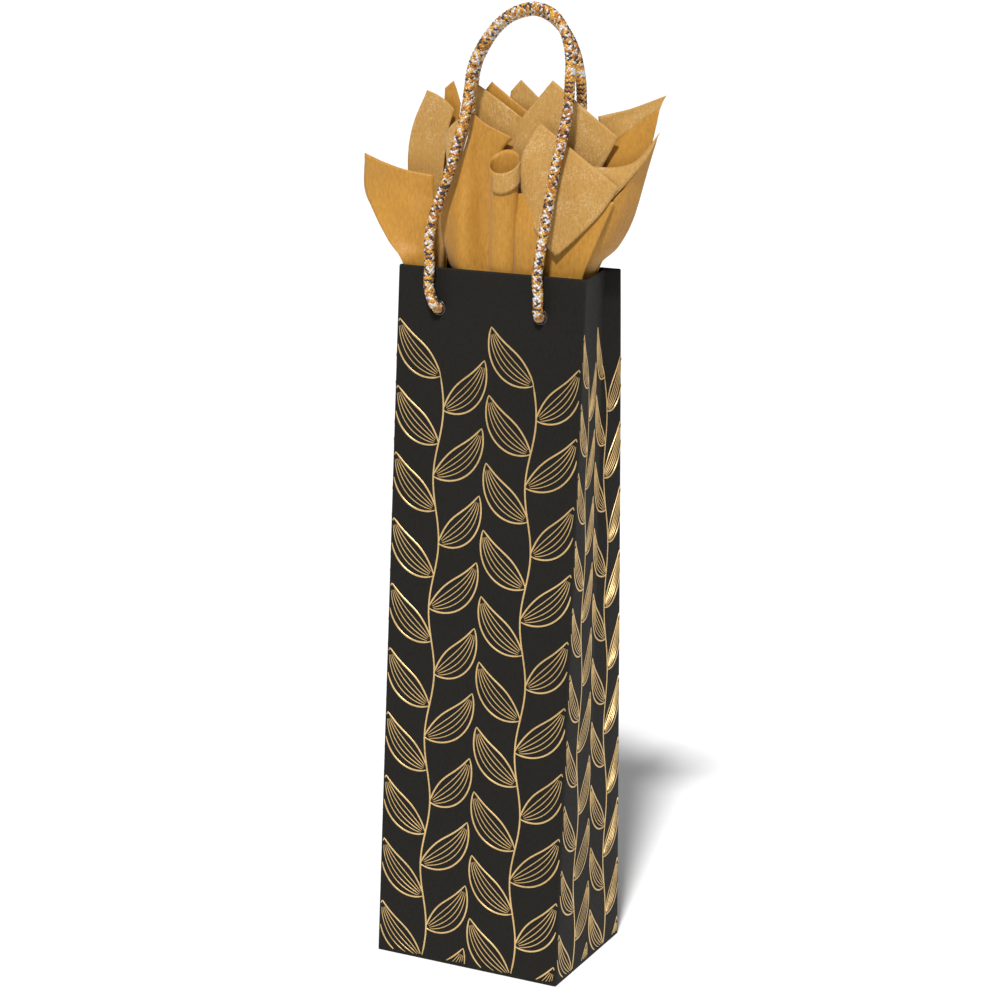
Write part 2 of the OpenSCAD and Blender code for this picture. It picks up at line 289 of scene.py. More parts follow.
@dataclass(frozen=True)
class Finish:
    """A surface finish: a fibrous or metallic skin with its own grain.

    Attributes:
        title: the material's name.
        dark: the colour in the grain's hollows.
        light: the colour on the grain's crests.
        rough: roughness.
        metal: metallic share.
        grain: how fine the grain is, per metre.
        relief: depth of the grain in millimetres.
        cloud: how broad the slow variation is, per metre.
        tone_and_gleam_share: how strongly the slow variation lightens the colour: a random tone on
        paper and tissue, and a painted reflection on the gold foil.
        specular: specular level.
    """

    title: str
    dark: Colour
    light: Colour
    rough: float = 0.6
    metal: float = 0.0
    grain: float = 900.0
    relief: float = 0.02
    cloud: float = 25.0
    tone_and_gleam_share: float = 0.3
    specular: float = 0.4

    def material(self) -> bpy.types.Material:
        """Return this finish's material, made on its first use."""
        ready = bpy.data.materials.get(self.title)
        if ready:
            return ready
        made = bpy.data.materials.new(self.title)
        made.use_nodes = True
        made.node_tree.nodes.clear()
        graph = Graph(made.node_tree)
        leave = graph.node("ShaderNodeOutputMaterial")
        skin = graph.node("ShaderNodeBsdfPrincipled")
        grain = GRAIN.place(graph, Scale=self.grain, Cloud_Scale=self.cloud)
        base = graph.blend(grain.outputs["Fibre"], self.dark, self.light)
        # The slow lightening is random tone on paper and tissue; on the gold foil it is painted
        # reflection.
        slow_tone_and_gleam = graph.spread(grain.outputs["Cloud"], 0.0, self.tone_and_gleam_share)
        base = graph.blend(slow_tone_and_gleam, base, self.light)
        base = self.detail(graph, base)
        rough = graph.spread(grain.outputs["Fibre"], self.rough + 0.06, self.rough - 0.06)
        bump = graph.node("ShaderNodeBump", {
            "Strength": 1.0, "Distance": self.relief * MM, "Height": grain.outputs["Fibre"]})
        graph.tree.links.new(base, skin.inputs["Base Color"])
        graph.tree.links.new(rough, skin.inputs["Roughness"])
        graph.tree.links.new(bump.outputs[0], skin.inputs["Normal"])
        skin.inputs["Metallic"].default_value = self.metal
        skin.inputs["Specular IOR Level"].default_value = self.specular
        self.dress(skin)
        graph.tree.links.new(skin.outputs[0], leave.inputs[0])
        return made

    def detail(self, graph: Graph, base: bpy.types.NodeSocket) -> bpy.types.NodeSocket:
        """Return the base colour with this finish's own marks; a plain finish adds none."""
        return base

    def dress(self, skin: bpy.types.Node) -> None:
        """Set the shader's constant sockets; a plain finish sets none."""


@dataclass(frozen=True)
class WornFinish(Finish):
    """A finish whose folds and rims are rubbed lighter.

    Attributes:
        rubbed: the colour of a rubbed fold.
        wear: how much of it shows.
    """

    rubbed: Colour = (0.2, 0.19, 0.17)
    wear: float = 0.5

    def detail(self, graph: Graph, base: bpy.types.NodeSocket) -> bpy.types.NodeSocket:
        """Return the base colour with rubbed folds."""
        worn = WEAR.place(graph, Amount=self.wear)
        return graph.blend(worn.outputs["Mask"], base, self.rubbed)


@dataclass(frozen=True)
class SpeckledFinish(Finish):
    """A finish with scattered pale flecks.

    Attributes:
        fleck: the flecks' colour.
        fineness: how small the flecks are, per metre.
        threshold: how few flecks there are, about 0.5 to 0.7.
        fleck_share: how strongly a fleck shows.
    """

    fleck: Colour = (0.8, 0.7, 0.5)
    fineness: float = 700.0
    threshold: float = 0.55
    fleck_share: float = 0.75

    def detail(self, graph: Graph, base: bpy.types.NodeSocket) -> bpy.types.NodeSocket:
        """Return the base colour with its flecks."""
        flecks = SPECKLE.place(graph, Scale=self.fineness, Threshold=self.threshold)
        share = graph.spread(flecks.outputs["Mask"], 0.0, self.fleck_share)
        return graph.blend(share, base, self.fleck)


@dataclass(frozen=True)
class LacquerFinish(Finish):
    """A glossy painted finish with a thin clear coat."""

    coat: float = 0.5

    def dress(self, skin: bpy.types.Node) -> None:
        """Set the clear coat."""
        skin.inputs["Coat Weight"].default_value = self.coat
        skin.inputs["Coat Roughness"].default_value = 0.15


@dataclass(frozen=True)
class TissueFinish(SpeckledFinish):
    """Thin tissue paper with a soft sheen."""

    def dress(self, skin: bpy.types.Node) -> None:
        """Set the soft sheen."""
        skin.inputs["Sheen Weight"].default_value = 0.12
        skin.inputs["Sheen Roughness"].default_value = 0.5


PRINTED = WornFinish("printed_paper_black", (0.0072, 0.0066, 0.0054), (0.0128, 0.0117, 0.0096),
                     rough=0.64, grain=1500.0, relief=0.01, cloud=14.0, specular=0.12,
                     rubbed=(0.08, 0.075, 0.065), wear=0.35)
BARE = Finish("bare_paper_white", (0.55, 0.52, 0.46), (0.74, 0.71, 0.65), rough=0.8,
              grain=1100.0, relief=0.02)
CARD = SpeckledFinish("stiff_grey_card", (0.3, 0.26, 0.2), (0.42, 0.37, 0.3), rough=0.85,
                      grain=700.0, relief=0.04, fleck=(0.62, 0.58, 0.5), threshold=0.6)
# Gold foil: its strong slow lightening from brown gold to bright gold is painted reflection, the
# gleam of foil catching light painted into its colour.
FOIL_WITH_PAINTED_GLEAM = Finish("gold_foil_line", (0.4, 0.255, 0.09), (0.78, 0.54, 0.24), rough=0.42, metal=0.75,
              grain=2200.0, relief=0.006, cloud=28.0, tone_and_gleam_share=0.75, specular=0.5)
LACQUER = LacquerFinish("black_eyelet_lacquer", (0.018, 0.018, 0.02), (0.03, 0.03, 0.032),
                        rough=0.32, grain=1600.0, relief=0.004)
YARN_GOLD = Finish("yarn_gold", (0.3, 0.14, 0.022), (0.78, 0.44, 0.1), rough=0.4, metal=0.35,
                   grain=3600.0, relief=0.05, cloud=500.0)
YARN_COPPER = Finish("yarn_copper", (0.16, 0.055, 0.012), (0.5, 0.19, 0.035), rough=0.42,
                     metal=0.35, grain=3600.0, relief=0.05, cloud=500.0)
YARN_SILVER = Finish("yarn_silver", (0.3, 0.29, 0.29), (0.78, 0.77, 0.76), rough=0.4,
                     metal=0.2, grain=3600.0, relief=0.05, cloud=500.0)
YARN_BLACK = Finish("yarn_black", (0.008, 0.008, 0.01), (0.05, 0.045, 0.05), rough=0.45,
                    metal=0.1, grain=3600.0, relief=0.05, cloud=500.0)
YARNS = (YARN_GOLD, YARN_COPPER, YARN_SILVER, YARN_BLACK)
TISSUE_GOLD = TissueFinish("tissue_gold_smooth", (0.32, 0.142, 0.0115), (0.46, 0.22, 0.025),
                           rough=0.6, grain=900.0, relief=0.045, cloud=28.0, tone_and_gleam_share=0.4,
                           fleck=(0.5, 0.28, 0.055), fineness=1600.0, threshold=0.62,
                           fleck_share=0.4)
TISSUE_PALE = TissueFinish("tissue_pale_speckled", (0.32, 0.16, 0.028), (0.46, 0.255, 0.06),
                           rough=0.7, grain=1100.0, relief=0.06, cloud=28.0, tone_and_gleam_share=0.4,
                           fleck=(0.6, 0.44, 0.23), fineness=1150.0, threshold=0.55,
                           fleck_share=0.45)
FLOOR = Finish("studio_floor", (0.86, 0.86, 0.86), (0.88, 0.88, 0.88), rough=0.9, grain=60.0,
               relief=0.01, cloud=1.0)


# ---------------------------------------------------------------- mesh making


def make_piece(name: str, points: Sequence[Sequence[float]], faces: Sequence[Sequence[int]],
               finishes: Sequence[Finish], body: Body, nodes: Sequence[str] = (),
               face_slots: Optional[Sequence[int]] = None,
               smooth: bool = True) -> bpy.types.Object:
    """Make one named piece from points in millimetres and dress it.

    Args:
        name: the piece's name.
        points: its points, in millimetres.
        faces: its faces, as point numbers.
        finishes: its finishes, in material order.
        body: the body that it rides on.
        nodes: the CAD nodes that it stands for.
        face_slots: each face's material number, if they differ.
        smooth: whether it is shaded smooth.

    Returns:
        The new object.
    """
    mesh = bpy.data.meshes.new(name)
    mesh.from_pydata([(p[0] * MM, p[1] * MM, p[2] * MM) for p in points], [], faces)
    for finish in finishes:
        mesh.materials.append(finish.material())
    if face_slots is not None:
        mesh.polygons.foreach_set("material_index", list(face_slots))
    mesh.polygons.foreach_set("use_smooth", [smooth] * len(mesh.polygons))
    mesh.update()
    made = bpy.data.objects.new(name, mesh)
    bpy.context.scene.collection.objects.link(made)
    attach(made, body.value)
    if nodes:
        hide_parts(*nodes)
    return made


def grid_faces(rows: int, columns: int, closed: bool = False) -> List[Tuple[int, ...]]:
    """List the quads of a grid of points.

    Args:
        rows: how many rows there are.
        columns: how many points are in each row.
        closed: whether each row joins up into a ring.

    Returns:
        The faces.
    """
    faces = []
    for r in range(rows - 1):
        for c in range(columns if closed else columns - 1):
            d = (c + 1) % columns
            faces.append((r * columns + c, r * columns + d,
                          (r + 1) * columns + d, (r + 1) * columns + c))
    return faces


def curve_point(points: Sequence[Vector], place: float, soft: float = 1.0) -> Vector:
    """Find a point on a smooth line through points.

    Args:
        points: the points that it passes through.
        place: how far along, in points.
        soft: 1 for a smooth curve and 0 for straight runs.

    Returns:
        The point.
    """
    last = len(points) - 1
    k = min(int(place), last - 1)
    t = place - k
    b, c = points[k], points[k + 1]
    straight = b.lerp(c, t)
    if soft == 0 or last == 1:
        return straight
    a = points[k - 1] if k else b * 2 - c
    d = points[k + 2] if k + 2 <= last else c * 2 - b
    smooth = 0.5 * (b * 2 + (c - a) * t + (a * 2 - b * 5 + c * 4 - d) * t * t
                    + (b * 3 - a - c * 3 + d) * t * t * t)
    return straight.lerp(smooth, soft)


def even_line(points: Sequence[Sequence[float]], step: float) -> List[Vector]:
    """Resample a smooth line through points at even steps.

    Args:
        points: the points that it passes through.
        step: the distance between the new points.

    Returns:
        The new points.
    """
    given = [Vector(p) for p in points]
    dense = [curve_point(given, k / 24) for k in range(24 * (len(given) - 1) + 1)]
    lengths = [0.0]
    for a, b in zip(dense, dense[1:]):
        lengths.append(lengths[-1] + (b - a).length)
    count = max(2, round(lengths[-1] / step))
    line, k = [], 0
    for n in range(count + 1):
        target = lengths[-1] * n / count
        while k < len(dense) - 2 and lengths[k + 1] < target:
            k += 1
        span = lengths[k + 1] - lengths[k]
        line.append(dense[k].lerp(dense[k + 1], (target - lengths[k]) / span if span else 0.0))
    return line


def line_length(points: Sequence[Vector]) -> float:
    """Return the length of a line of points."""
    return sum((b - a).length for a, b in zip(points, points[1:]))


# ---------------------------------------------------------------- studio


@dataclass
class Studio:
    """The camera, the floor and the lights.

    Attributes:
        stand: where the camera stands, in metres.
        turn: the camera's azimuth, elevation and roll in degrees.
        lens: the camera's lens in millimetres.
        floor_size: the floor's side in metres.
    """

    stand: Point = (0.561, -1.154, 0.549)
    turn: Point = (26.04, 13.52, 0.763)
    lens: float = 93.3
    floor_size: float = 80.0

    def place_camera(self) -> None:
        """Stand the camera at its angle and make it the scene's own."""
        azimuth, elevation, roll = (math.radians(a) for a in self.turn)
        back = Vector((math.sin(azimuth) * math.cos(elevation),
                       -math.cos(azimuth) * math.cos(elevation), math.sin(elevation)))
        right = Vector((0, 0, 1)).cross(back).normalized()
        up = back.cross(right)
        tilted = right * math.cos(roll) + up * math.sin(roll)
        upright = up * math.cos(roll) - right * math.sin(roll)
        data = bpy.data.cameras.new("camera")
        data.lens = self.lens
        data.sensor_width = 36.0
        data.clip_start, data.clip_end = 0.05, 50.0
        camera = bpy.data.objects.new("camera", data)
        bpy.context.scene.collection.objects.link(camera)
        turned = Matrix((tilted, upright, back)).transposed().to_4x4()
        turned.translation = Vector(self.stand)
        camera.matrix_world = turned
        bpy.context.scene.camera = camera

    def lay_floor(self) -> None:
        """Lay a plain pale floor under the bag."""
        half = self.floor_size / 2
        mesh = bpy.data.meshes.new("floor")
        mesh.from_pydata([(-half, -half, 0), (half, -half, 0), (half, half, 0),
                          (-half, half, 0)], [], [(0, 1, 2, 3)])
        mesh.materials.append(FLOOR.material())
        floor = bpy.data.objects.new("floor", mesh)
        floor.location.z = -0.0002
        bpy.context.scene.collection.objects.link(floor)

    def light(self) -> None:
        """Set a soft pale world, a key light from the front and a weak fill."""
        world = bpy.data.worlds.new("studio")
        world.use_nodes = True
        sky = world.node_tree.nodes["Background"]
        sky.inputs[0].default_value = (1.0, 1.0, 1.0, 1.0)
        sky.inputs[1].default_value = 0.28
        bpy.context.scene.world = world
        self.lamp("key", (16.0, 53.5), 3.9, 6.0)
        self.lamp("fill", (-55.0, 30.0), 0.14, 40.0)
        bpy.context.scene.view_settings.view_transform = "Standard"

    def lamp(self, name: str, angles: Flat, strength: float, softness: float) -> None:
        """Hang one distant lamp.

        Args:
            name: the lamp's name.
            angles: azimuth and elevation that it shines from, in degrees.
            strength: its strength.
            softness: its width as seen from the bag, in degrees.
        """
        azimuth, elevation = (math.radians(a) for a in angles)
        data = bpy.data.lights.new(name, "SUN")
        data.energy = strength
        data.angle = math.radians(softness)
        lamp = bpy.data.objects.new(name, data)
        source = Vector((math.sin(azimuth) * math.cos(elevation),
                         -math.cos(azimuth) * math.cos(elevation), math.sin(elevation)))
        lamp.rotation_mode = "QUATERNION"
        lamp.rotation_quaternion = source.to_track_quat("Z", "Y")
        bpy.context.scene.collection.objects.link(lamp)


# ---------------------------------------------------------------- rope

FRONT_ROUTE = (
    (-28, -24.5, 340), (-32, -24, 350), (-32, -23.5, 361), (-33, -22, 373), (-32, -20, 384),
    (-29, -18, 395), (-25, -16, 408), (-22, -14, 421), (-19, -12, 434), (-18, -10, 446),
    (-17, -8, 458), (-13, -6.5, 468), (-6, -5, 478), (3, -4, 485), (14, -3.5, 488),
    (24, -4, 485), (31, -5, 477), (35, -7, 466), (36, -9, 454), (36, -10, 443),
    (35, -12, 431), (33, -14, 419), (31, -16, 406), (30, -18, 394), (29, -20, 383),
    (28, -22, 372), (27, -23.5, 361), (28, -24, 350), (28, -24.5, 340))
REAR_ROUTE = (
    (-28, 29, 340), (-31, 29, 350), (-31, 28, 361), (-32, 26, 373), (-32, 24, 384),
    (-31, 22, 395), (-30, 20, 408), (-29, 17, 421), (-28, 15, 434), (-27, 13, 444),
    (-25, 11, 455), (-20, 8.5, 465), (-11, 5.5, 476), (-1, 3.5, 483), (11, 3, 486),
    (20, 3.5, 483), (27, 5, 476), (31, 8, 466), (33, 10, 454), (33, 12, 442),
    (32, 14, 430), (31, 16, 418), (30, 18, 406), (29, 20, 395), (28, 23, 383),
    (27, 26, 372), (27, 28, 361), (28, 29, 350), (28, 29, 340))


@dataclass
class Braid:
    """A round braid of coloured yarns along a line.

    Attributes:
        radius: the braid's outer radius.
        pitch: the length of one full turn of a yarn.
        yarns: how many yarns turn each way, an even number.
        sides: how many points are around each yarn.
        step: the distance between rings of points.
    """

    radius: float = 2.8
    pitch: float = 17.0
    yarns: int = 8
    sides: int = 7
    step: float = 0.55

    def colour_of(self, yarn: int, stitch: int) -> int:
        """Return the colour number of one stitch of a yarn, scattered but always the same."""
        wild = math.sin(yarn * 12.99 + stitch * 78.23) * 4375.85
        roll = wild - math.floor(wild)
        return 0 if roll < 0.3 else 1 if roll < 0.57 else 2 if roll < 0.82 else 3

    def mesh(self, line: Sequence[Sequence[float]]) -> Tuple[list, list, list]:
        """Braid the yarns along a line.

        Args:
            line: the points that the braid's middle follows.

        Returns:
            Points, faces and each face's colour number.
        """
        path = even_line(line, self.step)
        frames = self.frames(path)
        points: List[Vector] = []
        faces: List[Tuple[int, ...]] = []
        colours: List[int] = []
        thick = self.radius * 0.29
        wide = self.radius * 0.33
        middle = self.radius - thick - self.radius * 0.09
        for way in (-1, 1):
            for yarn in range(self.yarns):
                first = len(points)
                for k, (centre, u, v) in enumerate(frames):
                    run = k * self.step / self.pitch
                    angle = math.tau * (way * run + yarn / self.yarns)
                    weave = way * math.cos(math.tau * self.yarns * run)
                    end = min(k, len(frames) - 1 - k) * self.step
                    close = math.sqrt(max(0.0, 1 - (1 - min(end, self.radius) / self.radius) ** 2))
                    close = 0.25 + 0.75 * close
                    out = u * math.cos(angle) + v * math.sin(angle)
                    across = (v * math.cos(angle) - u * math.sin(angle))
                    heart = centre + out * (middle + self.radius * 0.09 * weave) * close
                    for s in range(self.sides):
                        turn = math.tau * s / self.sides
                        points.append(heart + out * (thick * math.cos(turn) * close)
                                      + across * (wide * math.sin(turn) * close))
                made = grid_faces(len(frames), self.sides, closed=True)
                faces += [tuple(first + n for n in face) for face in made]
                for n in range(len(made)):
                    run = (n // self.sides) * self.step / self.pitch
                    stitch = int(run * self.yarns + 0.25 * (way + 1))
                    colours.append(self.colour_of(yarn * 2 + (way + 1) // 2, stitch))
                end = first + (len(frames) - 1) * self.sides
                faces.append(tuple(first + s for s in range(self.sides))[::-1])
                faces.append(tuple(end + s for s in range(self.sides)))
                colours += [0, 0]
        return points, faces, colours

    def frames(self, path: Sequence[Vector]) -> List[Tuple[Vector, Vector, Vector]]:
        """Carry a pair of cross directions along a path without twisting them.

        Args:
            path: the path's points.

        Returns:
            Each point with its two cross directions.
        """
        made = []
        across: Optional[Vector] = None
        for k, centre in enumerate(path):
            along = (path[min(k + 1, len(path) - 1)] - path[max(k - 1, 0)]).normalized()
            if across is None:
                across = along.orthogonal().normalized()
            across = (across - along * across.dot(along)).normalized()
            made.append((centre, across, along.cross(across)))
        return made


@dataclass
class HandleRope:
    """One braided handle, from one rope hole to the other.

    Attributes:
        face: the side that it is tied to.
        body: the body that it rides on.
        route: the points that its middle follows.
        top_y: where its top stands over the mouth.
        standoff: distance from the panel to the rope's middle at its ends.
    """

    face: Side
    body: Body
    route: Tuple[Point, ...]
    top_y: float
    pivot_y: float
    diameter: float = 5.6

    def line(self) -> List[Point]:
        """Return the route, stretched so that its ends are at the pivot."""
        stretch = (self.pivot_y - self.top_y) / (self.route[0][1] - self.top_y)
        return [(x, self.top_y + (y - self.top_y) * stretch, z) for x, y, z in self.route]

    def build(self) -> bpy.types.Object:
        """Returns:
            The handle.
        """
        name = self.face.value
        line = self.line()
        points, faces, colours = Braid(self.diameter / 2).mesh(line)
        rope = make_piece(f"{name}_handle_braid", points, faces, YARNS, self.body,
                          [f"{name}_handle_rope"], colours)
        path = [[c * MM for c in p] for p in even_line(line, 2.0)]
        return rope


# ---------------------------------------------------------------- paper bag


@dataclass
class BagForm:
    """The folded shape of the bag, which every paper piece follows.

    Attributes:
        height: height of the bag.
        width: width of its front.
        depth: depth of its base.
        front_in: how far the top of the front stands in.
        rear_in: how far the top of the rear stands in.
        crease_in: how far the side creases lean in at the top.
        crease_y: where the side creases end at the top.
        crease_start: height at which the side creases begin.
        paper: thickness of the paper.
        hem: thickness of the turned-in top at the front and rear.
        side_hem: thickness of the turned-in top at the sides.
        fold: radius of the folded corners.
    """

    height: float = 360.0
    width: float = 103.0
    depth: float = 79.0
    front_in: float = 20.0
    rear_in: float = 15.0
    crease_in: float = 6.0
    crease_y: float = 16.0
    crease_start: float = 39.5
    paper: float = 0.4
    hem: float = 2.0
    side_hem: float = 1.0
    fold: float = 0.8

    def front_y(self, z: float) -> float:
        """Return the front's Y at a height."""
        return -self.depth / 2 + self.front_in * z / self.height

    def rear_y(self, z: float) -> float:
        """Return the rear's Y at a height."""
        return self.depth / 2 - self.rear_in * z / self.height

    def corners(self, z: float) -> List[Vector]:
        """Return the outline's six corners at a height, front left first, going round."""
        share = max(0.0, z - self.crease_start) / (self.height - self.crease_start)
        half = self.width / 2
        lean = half - self.crease_in * share
        fold_y = self.crease_y * share
        front, rear = self.front_y(z), self.rear_y(z)
        return [Vector((-half, front)), Vector((half, front)), Vector((lean, fold_y)),
                Vector((half, rear)), Vector((-half, rear)), Vector((-lean, fold_y))]

    def swell(self, edge: int, share: float, z: float) -> float:
        """Return how far the paper stands proud of a straight panel.

        Args:
            edge: the outline's edge, 0 to 5.
            share: how far along that edge.
            z: the height.

        Returns:
            The swelling in millimetres, nothing at the folds.
        """
        across = math.sin(math.pi * share)
        up = math.sin(math.pi * min(1.0, max(0.0, z / self.height))) ** 0.7
        broad = 1.0 if edge in (0, 3) else 0.45
        dent = noise.noise(Vector((edge * 7.1 + share * 2.2, z / 85.0, 3.3)))
        fine = noise.noise(Vector((edge * 3.7 + share * 6.0, z / 30.0, 9.1)))
        return broad * across * up * (0.7 + 0.8 * dent + 0.18 * fine)

    def ring(self, z: float, inset: Sequence[float]) -> List[List[Vector]]:
        """Lay out the outline at a height.

        Args:
            z: the height.
            inset: how far inside the outer face, at the front and rear and at the sides.

        Returns:
            The points of the front, right, rear and left panels.
        """
        corner = self.corners(z)
        insets = [inset[0], inset[1], inset[1], inset[0], inset[1], inset[1]]
        count = len(corner)
        lines = []
        for k in range(count):
            a, b = corner[k], corner[(k + 1) % count]
            along = (b - a).normalized()
            inward = Vector((-along.y, along.x))
            lines.append((a + inward * insets[k], along, inward))
        inner = []
        for k in range(count):
            (p, u, _), (q, v, w) = lines[k - 1], lines[k]
            bend = u.dot(w)
            inner.append(q.copy() if abs(bend) < 1e-6 else p + u * ((q - p).dot(w) / bend))
        arcs = [self.arc(inner[k - 1], inner[k], inner[(k + 1) % count],
                         max(0.15, self.fold - inset[0]) if k in (0, 1, 3, 4) else 0.6)
                for k in range(count)]
        half = len(arcs[0]) // 2
        spans = []
        for k in range(count):
            a, b = arcs[k][-1], arcs[(k + 1) % count][0]
            out = -lines[k][2]
            steps = 30 if k in (0, 3) else 13
            spans.append([a.lerp(b, n / steps) + out * self.swell(k, n / steps, z)
                          for n in range(1, steps)])
        front = arcs[0][half:] + spans[0] + arcs[1][:half + 1]
        right = arcs[1][half:] + spans[1] + arcs[2] + spans[2] + arcs[3][:half + 1]
        rear = arcs[3][half:] + spans[3] + arcs[4][:half + 1]
        left = arcs[4][half:] + spans[4] + arcs[5] + spans[5] + arcs[0][:half + 1]
        return [front, right, rear, left]

    def arc(self, before: Vector, corner: Vector, after: Vector, radius: float) -> List[Vector]:
        """Round one corner.

        Args:
            before: the corner before it.
            corner: the corner.
            after: the corner after it.
            radius: the fold's radius.

        Returns:
            Seven points round the fold.
        """
        u, v = (before - corner).normalized(), (after - corner).normalized()
        half = max(1e-3, math.acos(max(-1.0, min(1.0, u.dot(v)))) / 2)
        if half > math.radians(89.5):
            return [corner + (u * (3 - n) if n < 3 else v * (n - 3)) * 0.2 for n in range(7)]
        reach = radius / math.tan(half)
        a, b = corner + u * reach, corner + v * reach
        centre = corner + (u + v).normalized() * (radius / math.sin(half))
        first, last = a - centre, b - centre
        points = []
        for n in range(7):
            spoke = first.slerp(last, n / 6).normalized() * radius
            points.append(centre + spoke)
        return points

    def on_face(self, side: Side, share: float, z: float, proud: float) -> Vector:
        """Find a point on the outside of a panel.

        Args:
            side: the panel.
            share: how far across it, left to right as seen from outside.
            z: the height.
            proud: how far outside the paper.

        Returns:
            The point.
        """
        corner = self.corners(z)
        if side in (Side.FRONT, Side.REAR):
            edge = 0 if side is Side.FRONT else 3
            part = share
        else:
            first = 1 if side is Side.RIGHT else 4
            depths = [(corner[(first + n + 1) % 6] - corner[(first + n) % 6]).length
                      for n in (0, 1)]
            split = depths[0] / sum(depths)
            edge = first if share < split else first + 1
            part = share / split if share < split else (share - split) / (1 - split)
        a, b = corner[edge % 6], corner[(edge + 1) % 6]
        along = (b - a).normalized()
        out = Vector((along.y, -along.x))
        flat = a.lerp(b, part) + out * (self.swell(edge, part, z) + proud)
        return Vector((flat.x, flat.y, z))


@dataclass
class PaperBag:
    """The folded paper: four panels, their turned-in top and the hem cards.

    Attributes:
        form: the bag's folded shape.
        turn_in: depth of the paper turned in at the top.
        hole_x: distance of a rope hole from the middle.
        hole_z: height of a rope hole.
        hole_r: radius of a hole through the paper.
    """

    form: BagForm
    turn_in: float = 40.0
    hole_x: float = 28.0
    hole_z: float = 340.0
    hole_r: float = 3.35

    def rows(self, count: int, low: float, high: float) -> List[float]:
        """Return evenly spaced heights."""
        return [low + (high - low) * k / (count - 1) for k in range(count)]

    def wall_profile(self, depth: float) -> List[Point]:
        """Lay out a panel from its foot to the crown of the rim.

        Args:
            depth: how far under the outer skin.

        Returns:
            A height, a front inset and a side inset for each outline.
        """
        form = self.form
        bend, side_bend = form.hem / 2, form.side_hem / 2
        low = form.height - bend
        rings = [(z, depth, depth) for z in [0.0, 0.6, 1.5] + self.rows(70, 5.0, low)]
        for k in range(1, 5):
            turn = math.pi / 8 * k
            rings.append((low + (bend - depth) * math.sin(turn),
                          bend - (bend - depth) * math.cos(turn),
                          side_bend - (side_bend - depth) * math.cos(turn)))
        return rings

    def turned_profile(self, depth: float) -> List[Point]:
        """Lay out the turned-in paper from the crown of the rim to its end.

        Args:
            depth: how far behind the skin that faces into the bag.

        Returns:
            A height, a front inset and a side inset for each outline.
        """
        form = self.form
        bend, side_bend = form.hem / 2, form.side_hem / 2
        low = form.height - bend
        rings = []
        for k in range(5):
            turn = math.pi / 8 * k
            rings.append((low + (bend - depth) * math.cos(turn),
                          bend + (bend - depth) * math.sin(turn),
                          side_bend + (side_bend - depth) * math.sin(turn)))
        ends = self.rows(14, low, form.height - self.turn_in)[1:]
        return rings + [(z, form.hem - depth, form.side_hem - depth) for z in ends]

    def layers(self, skin: Sequence[Point], back: Sequence[Point], index: int,
               trim: int = 0) -> Tuple[list, list, list]:
        """Loft a sheet of paper with a skin, a back and edges.

        Args:
            skin: the outlines of its drawn face.
            back: the outlines of its other face.
            index: which panel, 0 to 3.
            trim: how many points to leave out at each end of a row.

        Returns:
            Points, faces and each face's material number.
        """
        points: List[Point] = []
        width = 0
        for z, front, side in list(skin) + list(back):
            row = self.form.ring(z, (front, side))[index]
            row = row[trim:len(row) - trim]
            width = len(row)
            points += [(p.x, p.y, z) for p in row]
        rows, shift = len(skin), len(skin) * width
        faces = grid_faces(rows, width)
        slots = [0] * len(faces)
        faces += [tuple(n + shift for n in face[::-1]) for face in grid_faces(rows, width)]
        border = list(range(width - 1)) + [r * width + width - 1 for r in range(rows - 1)]
        border += [shift - 1 - n for n in range(width - 1)]
        border += [r * width for r in range(rows - 1, 0, -1)]
        for k, a in enumerate(border):
            b = border[(k + 1) % len(border)]
            faces.append((b, a, a + shift, b + shift))
        slots += [1] * (len(faces) - len(slots))
        return points, faces, slots

    def build(self) -> None:
        """Build and dress every paper piece."""
        form = self.form
        nodes = {Side.FRONT: "front_panel", Side.RIGHT: "right_side_panel",
                 Side.REAR: "rear_panel", Side.LEFT: "left_side_panel"}
        for index, side in enumerate(Side):
            points, faces, slots = self.layers(self.wall_profile(0.0),
                                               self.wall_profile(form.paper), index)
            panel = make_piece(f"{side.value}_panel_paper", points, faces, (PRINTED, BARE),
                               Body.BAG, [nodes[side]], slots)
            points, faces, slots = self.layers(self.turned_profile(0.0),
                                               self.turned_profile(form.paper), index)
            flap = make_piece(f"{side.value}_turn_in_paper", points, faces, (PRINTED, BARE),
                              Body.BAG, [f"{side.value}_turn_in"], slots)
            if side in (Side.FRONT, Side.REAR):
                self.punch(panel, side)
                self.punch(flap, side)
                self.build_hem_card(side, index)
            LOG.info("%s panel folded", side.value)

    def build_hem_card(self, side: Side, index: int) -> None:
        """Build the stiff card inside one hem.

        Args:
            side: the front or the rear.
            index: the panel's number.
        """
        form = self.form
        heights = self.rows(12, form.height - self.turn_in + 1, form.height - form.hem / 2)
        near, far = form.paper + 0.04, form.hem - form.paper - 0.04
        points, faces, _ = self.layers([(z, near, near) for z in heights],
                                       [(z, far, near) for z in heights], index, 5)
        card = make_piece(f"{side.value}_hem_card_board", points, faces, (CARD,), Body.BAG,
                          [f"{side.value}_hem_card"], smooth=False)
        self.punch(card, side)

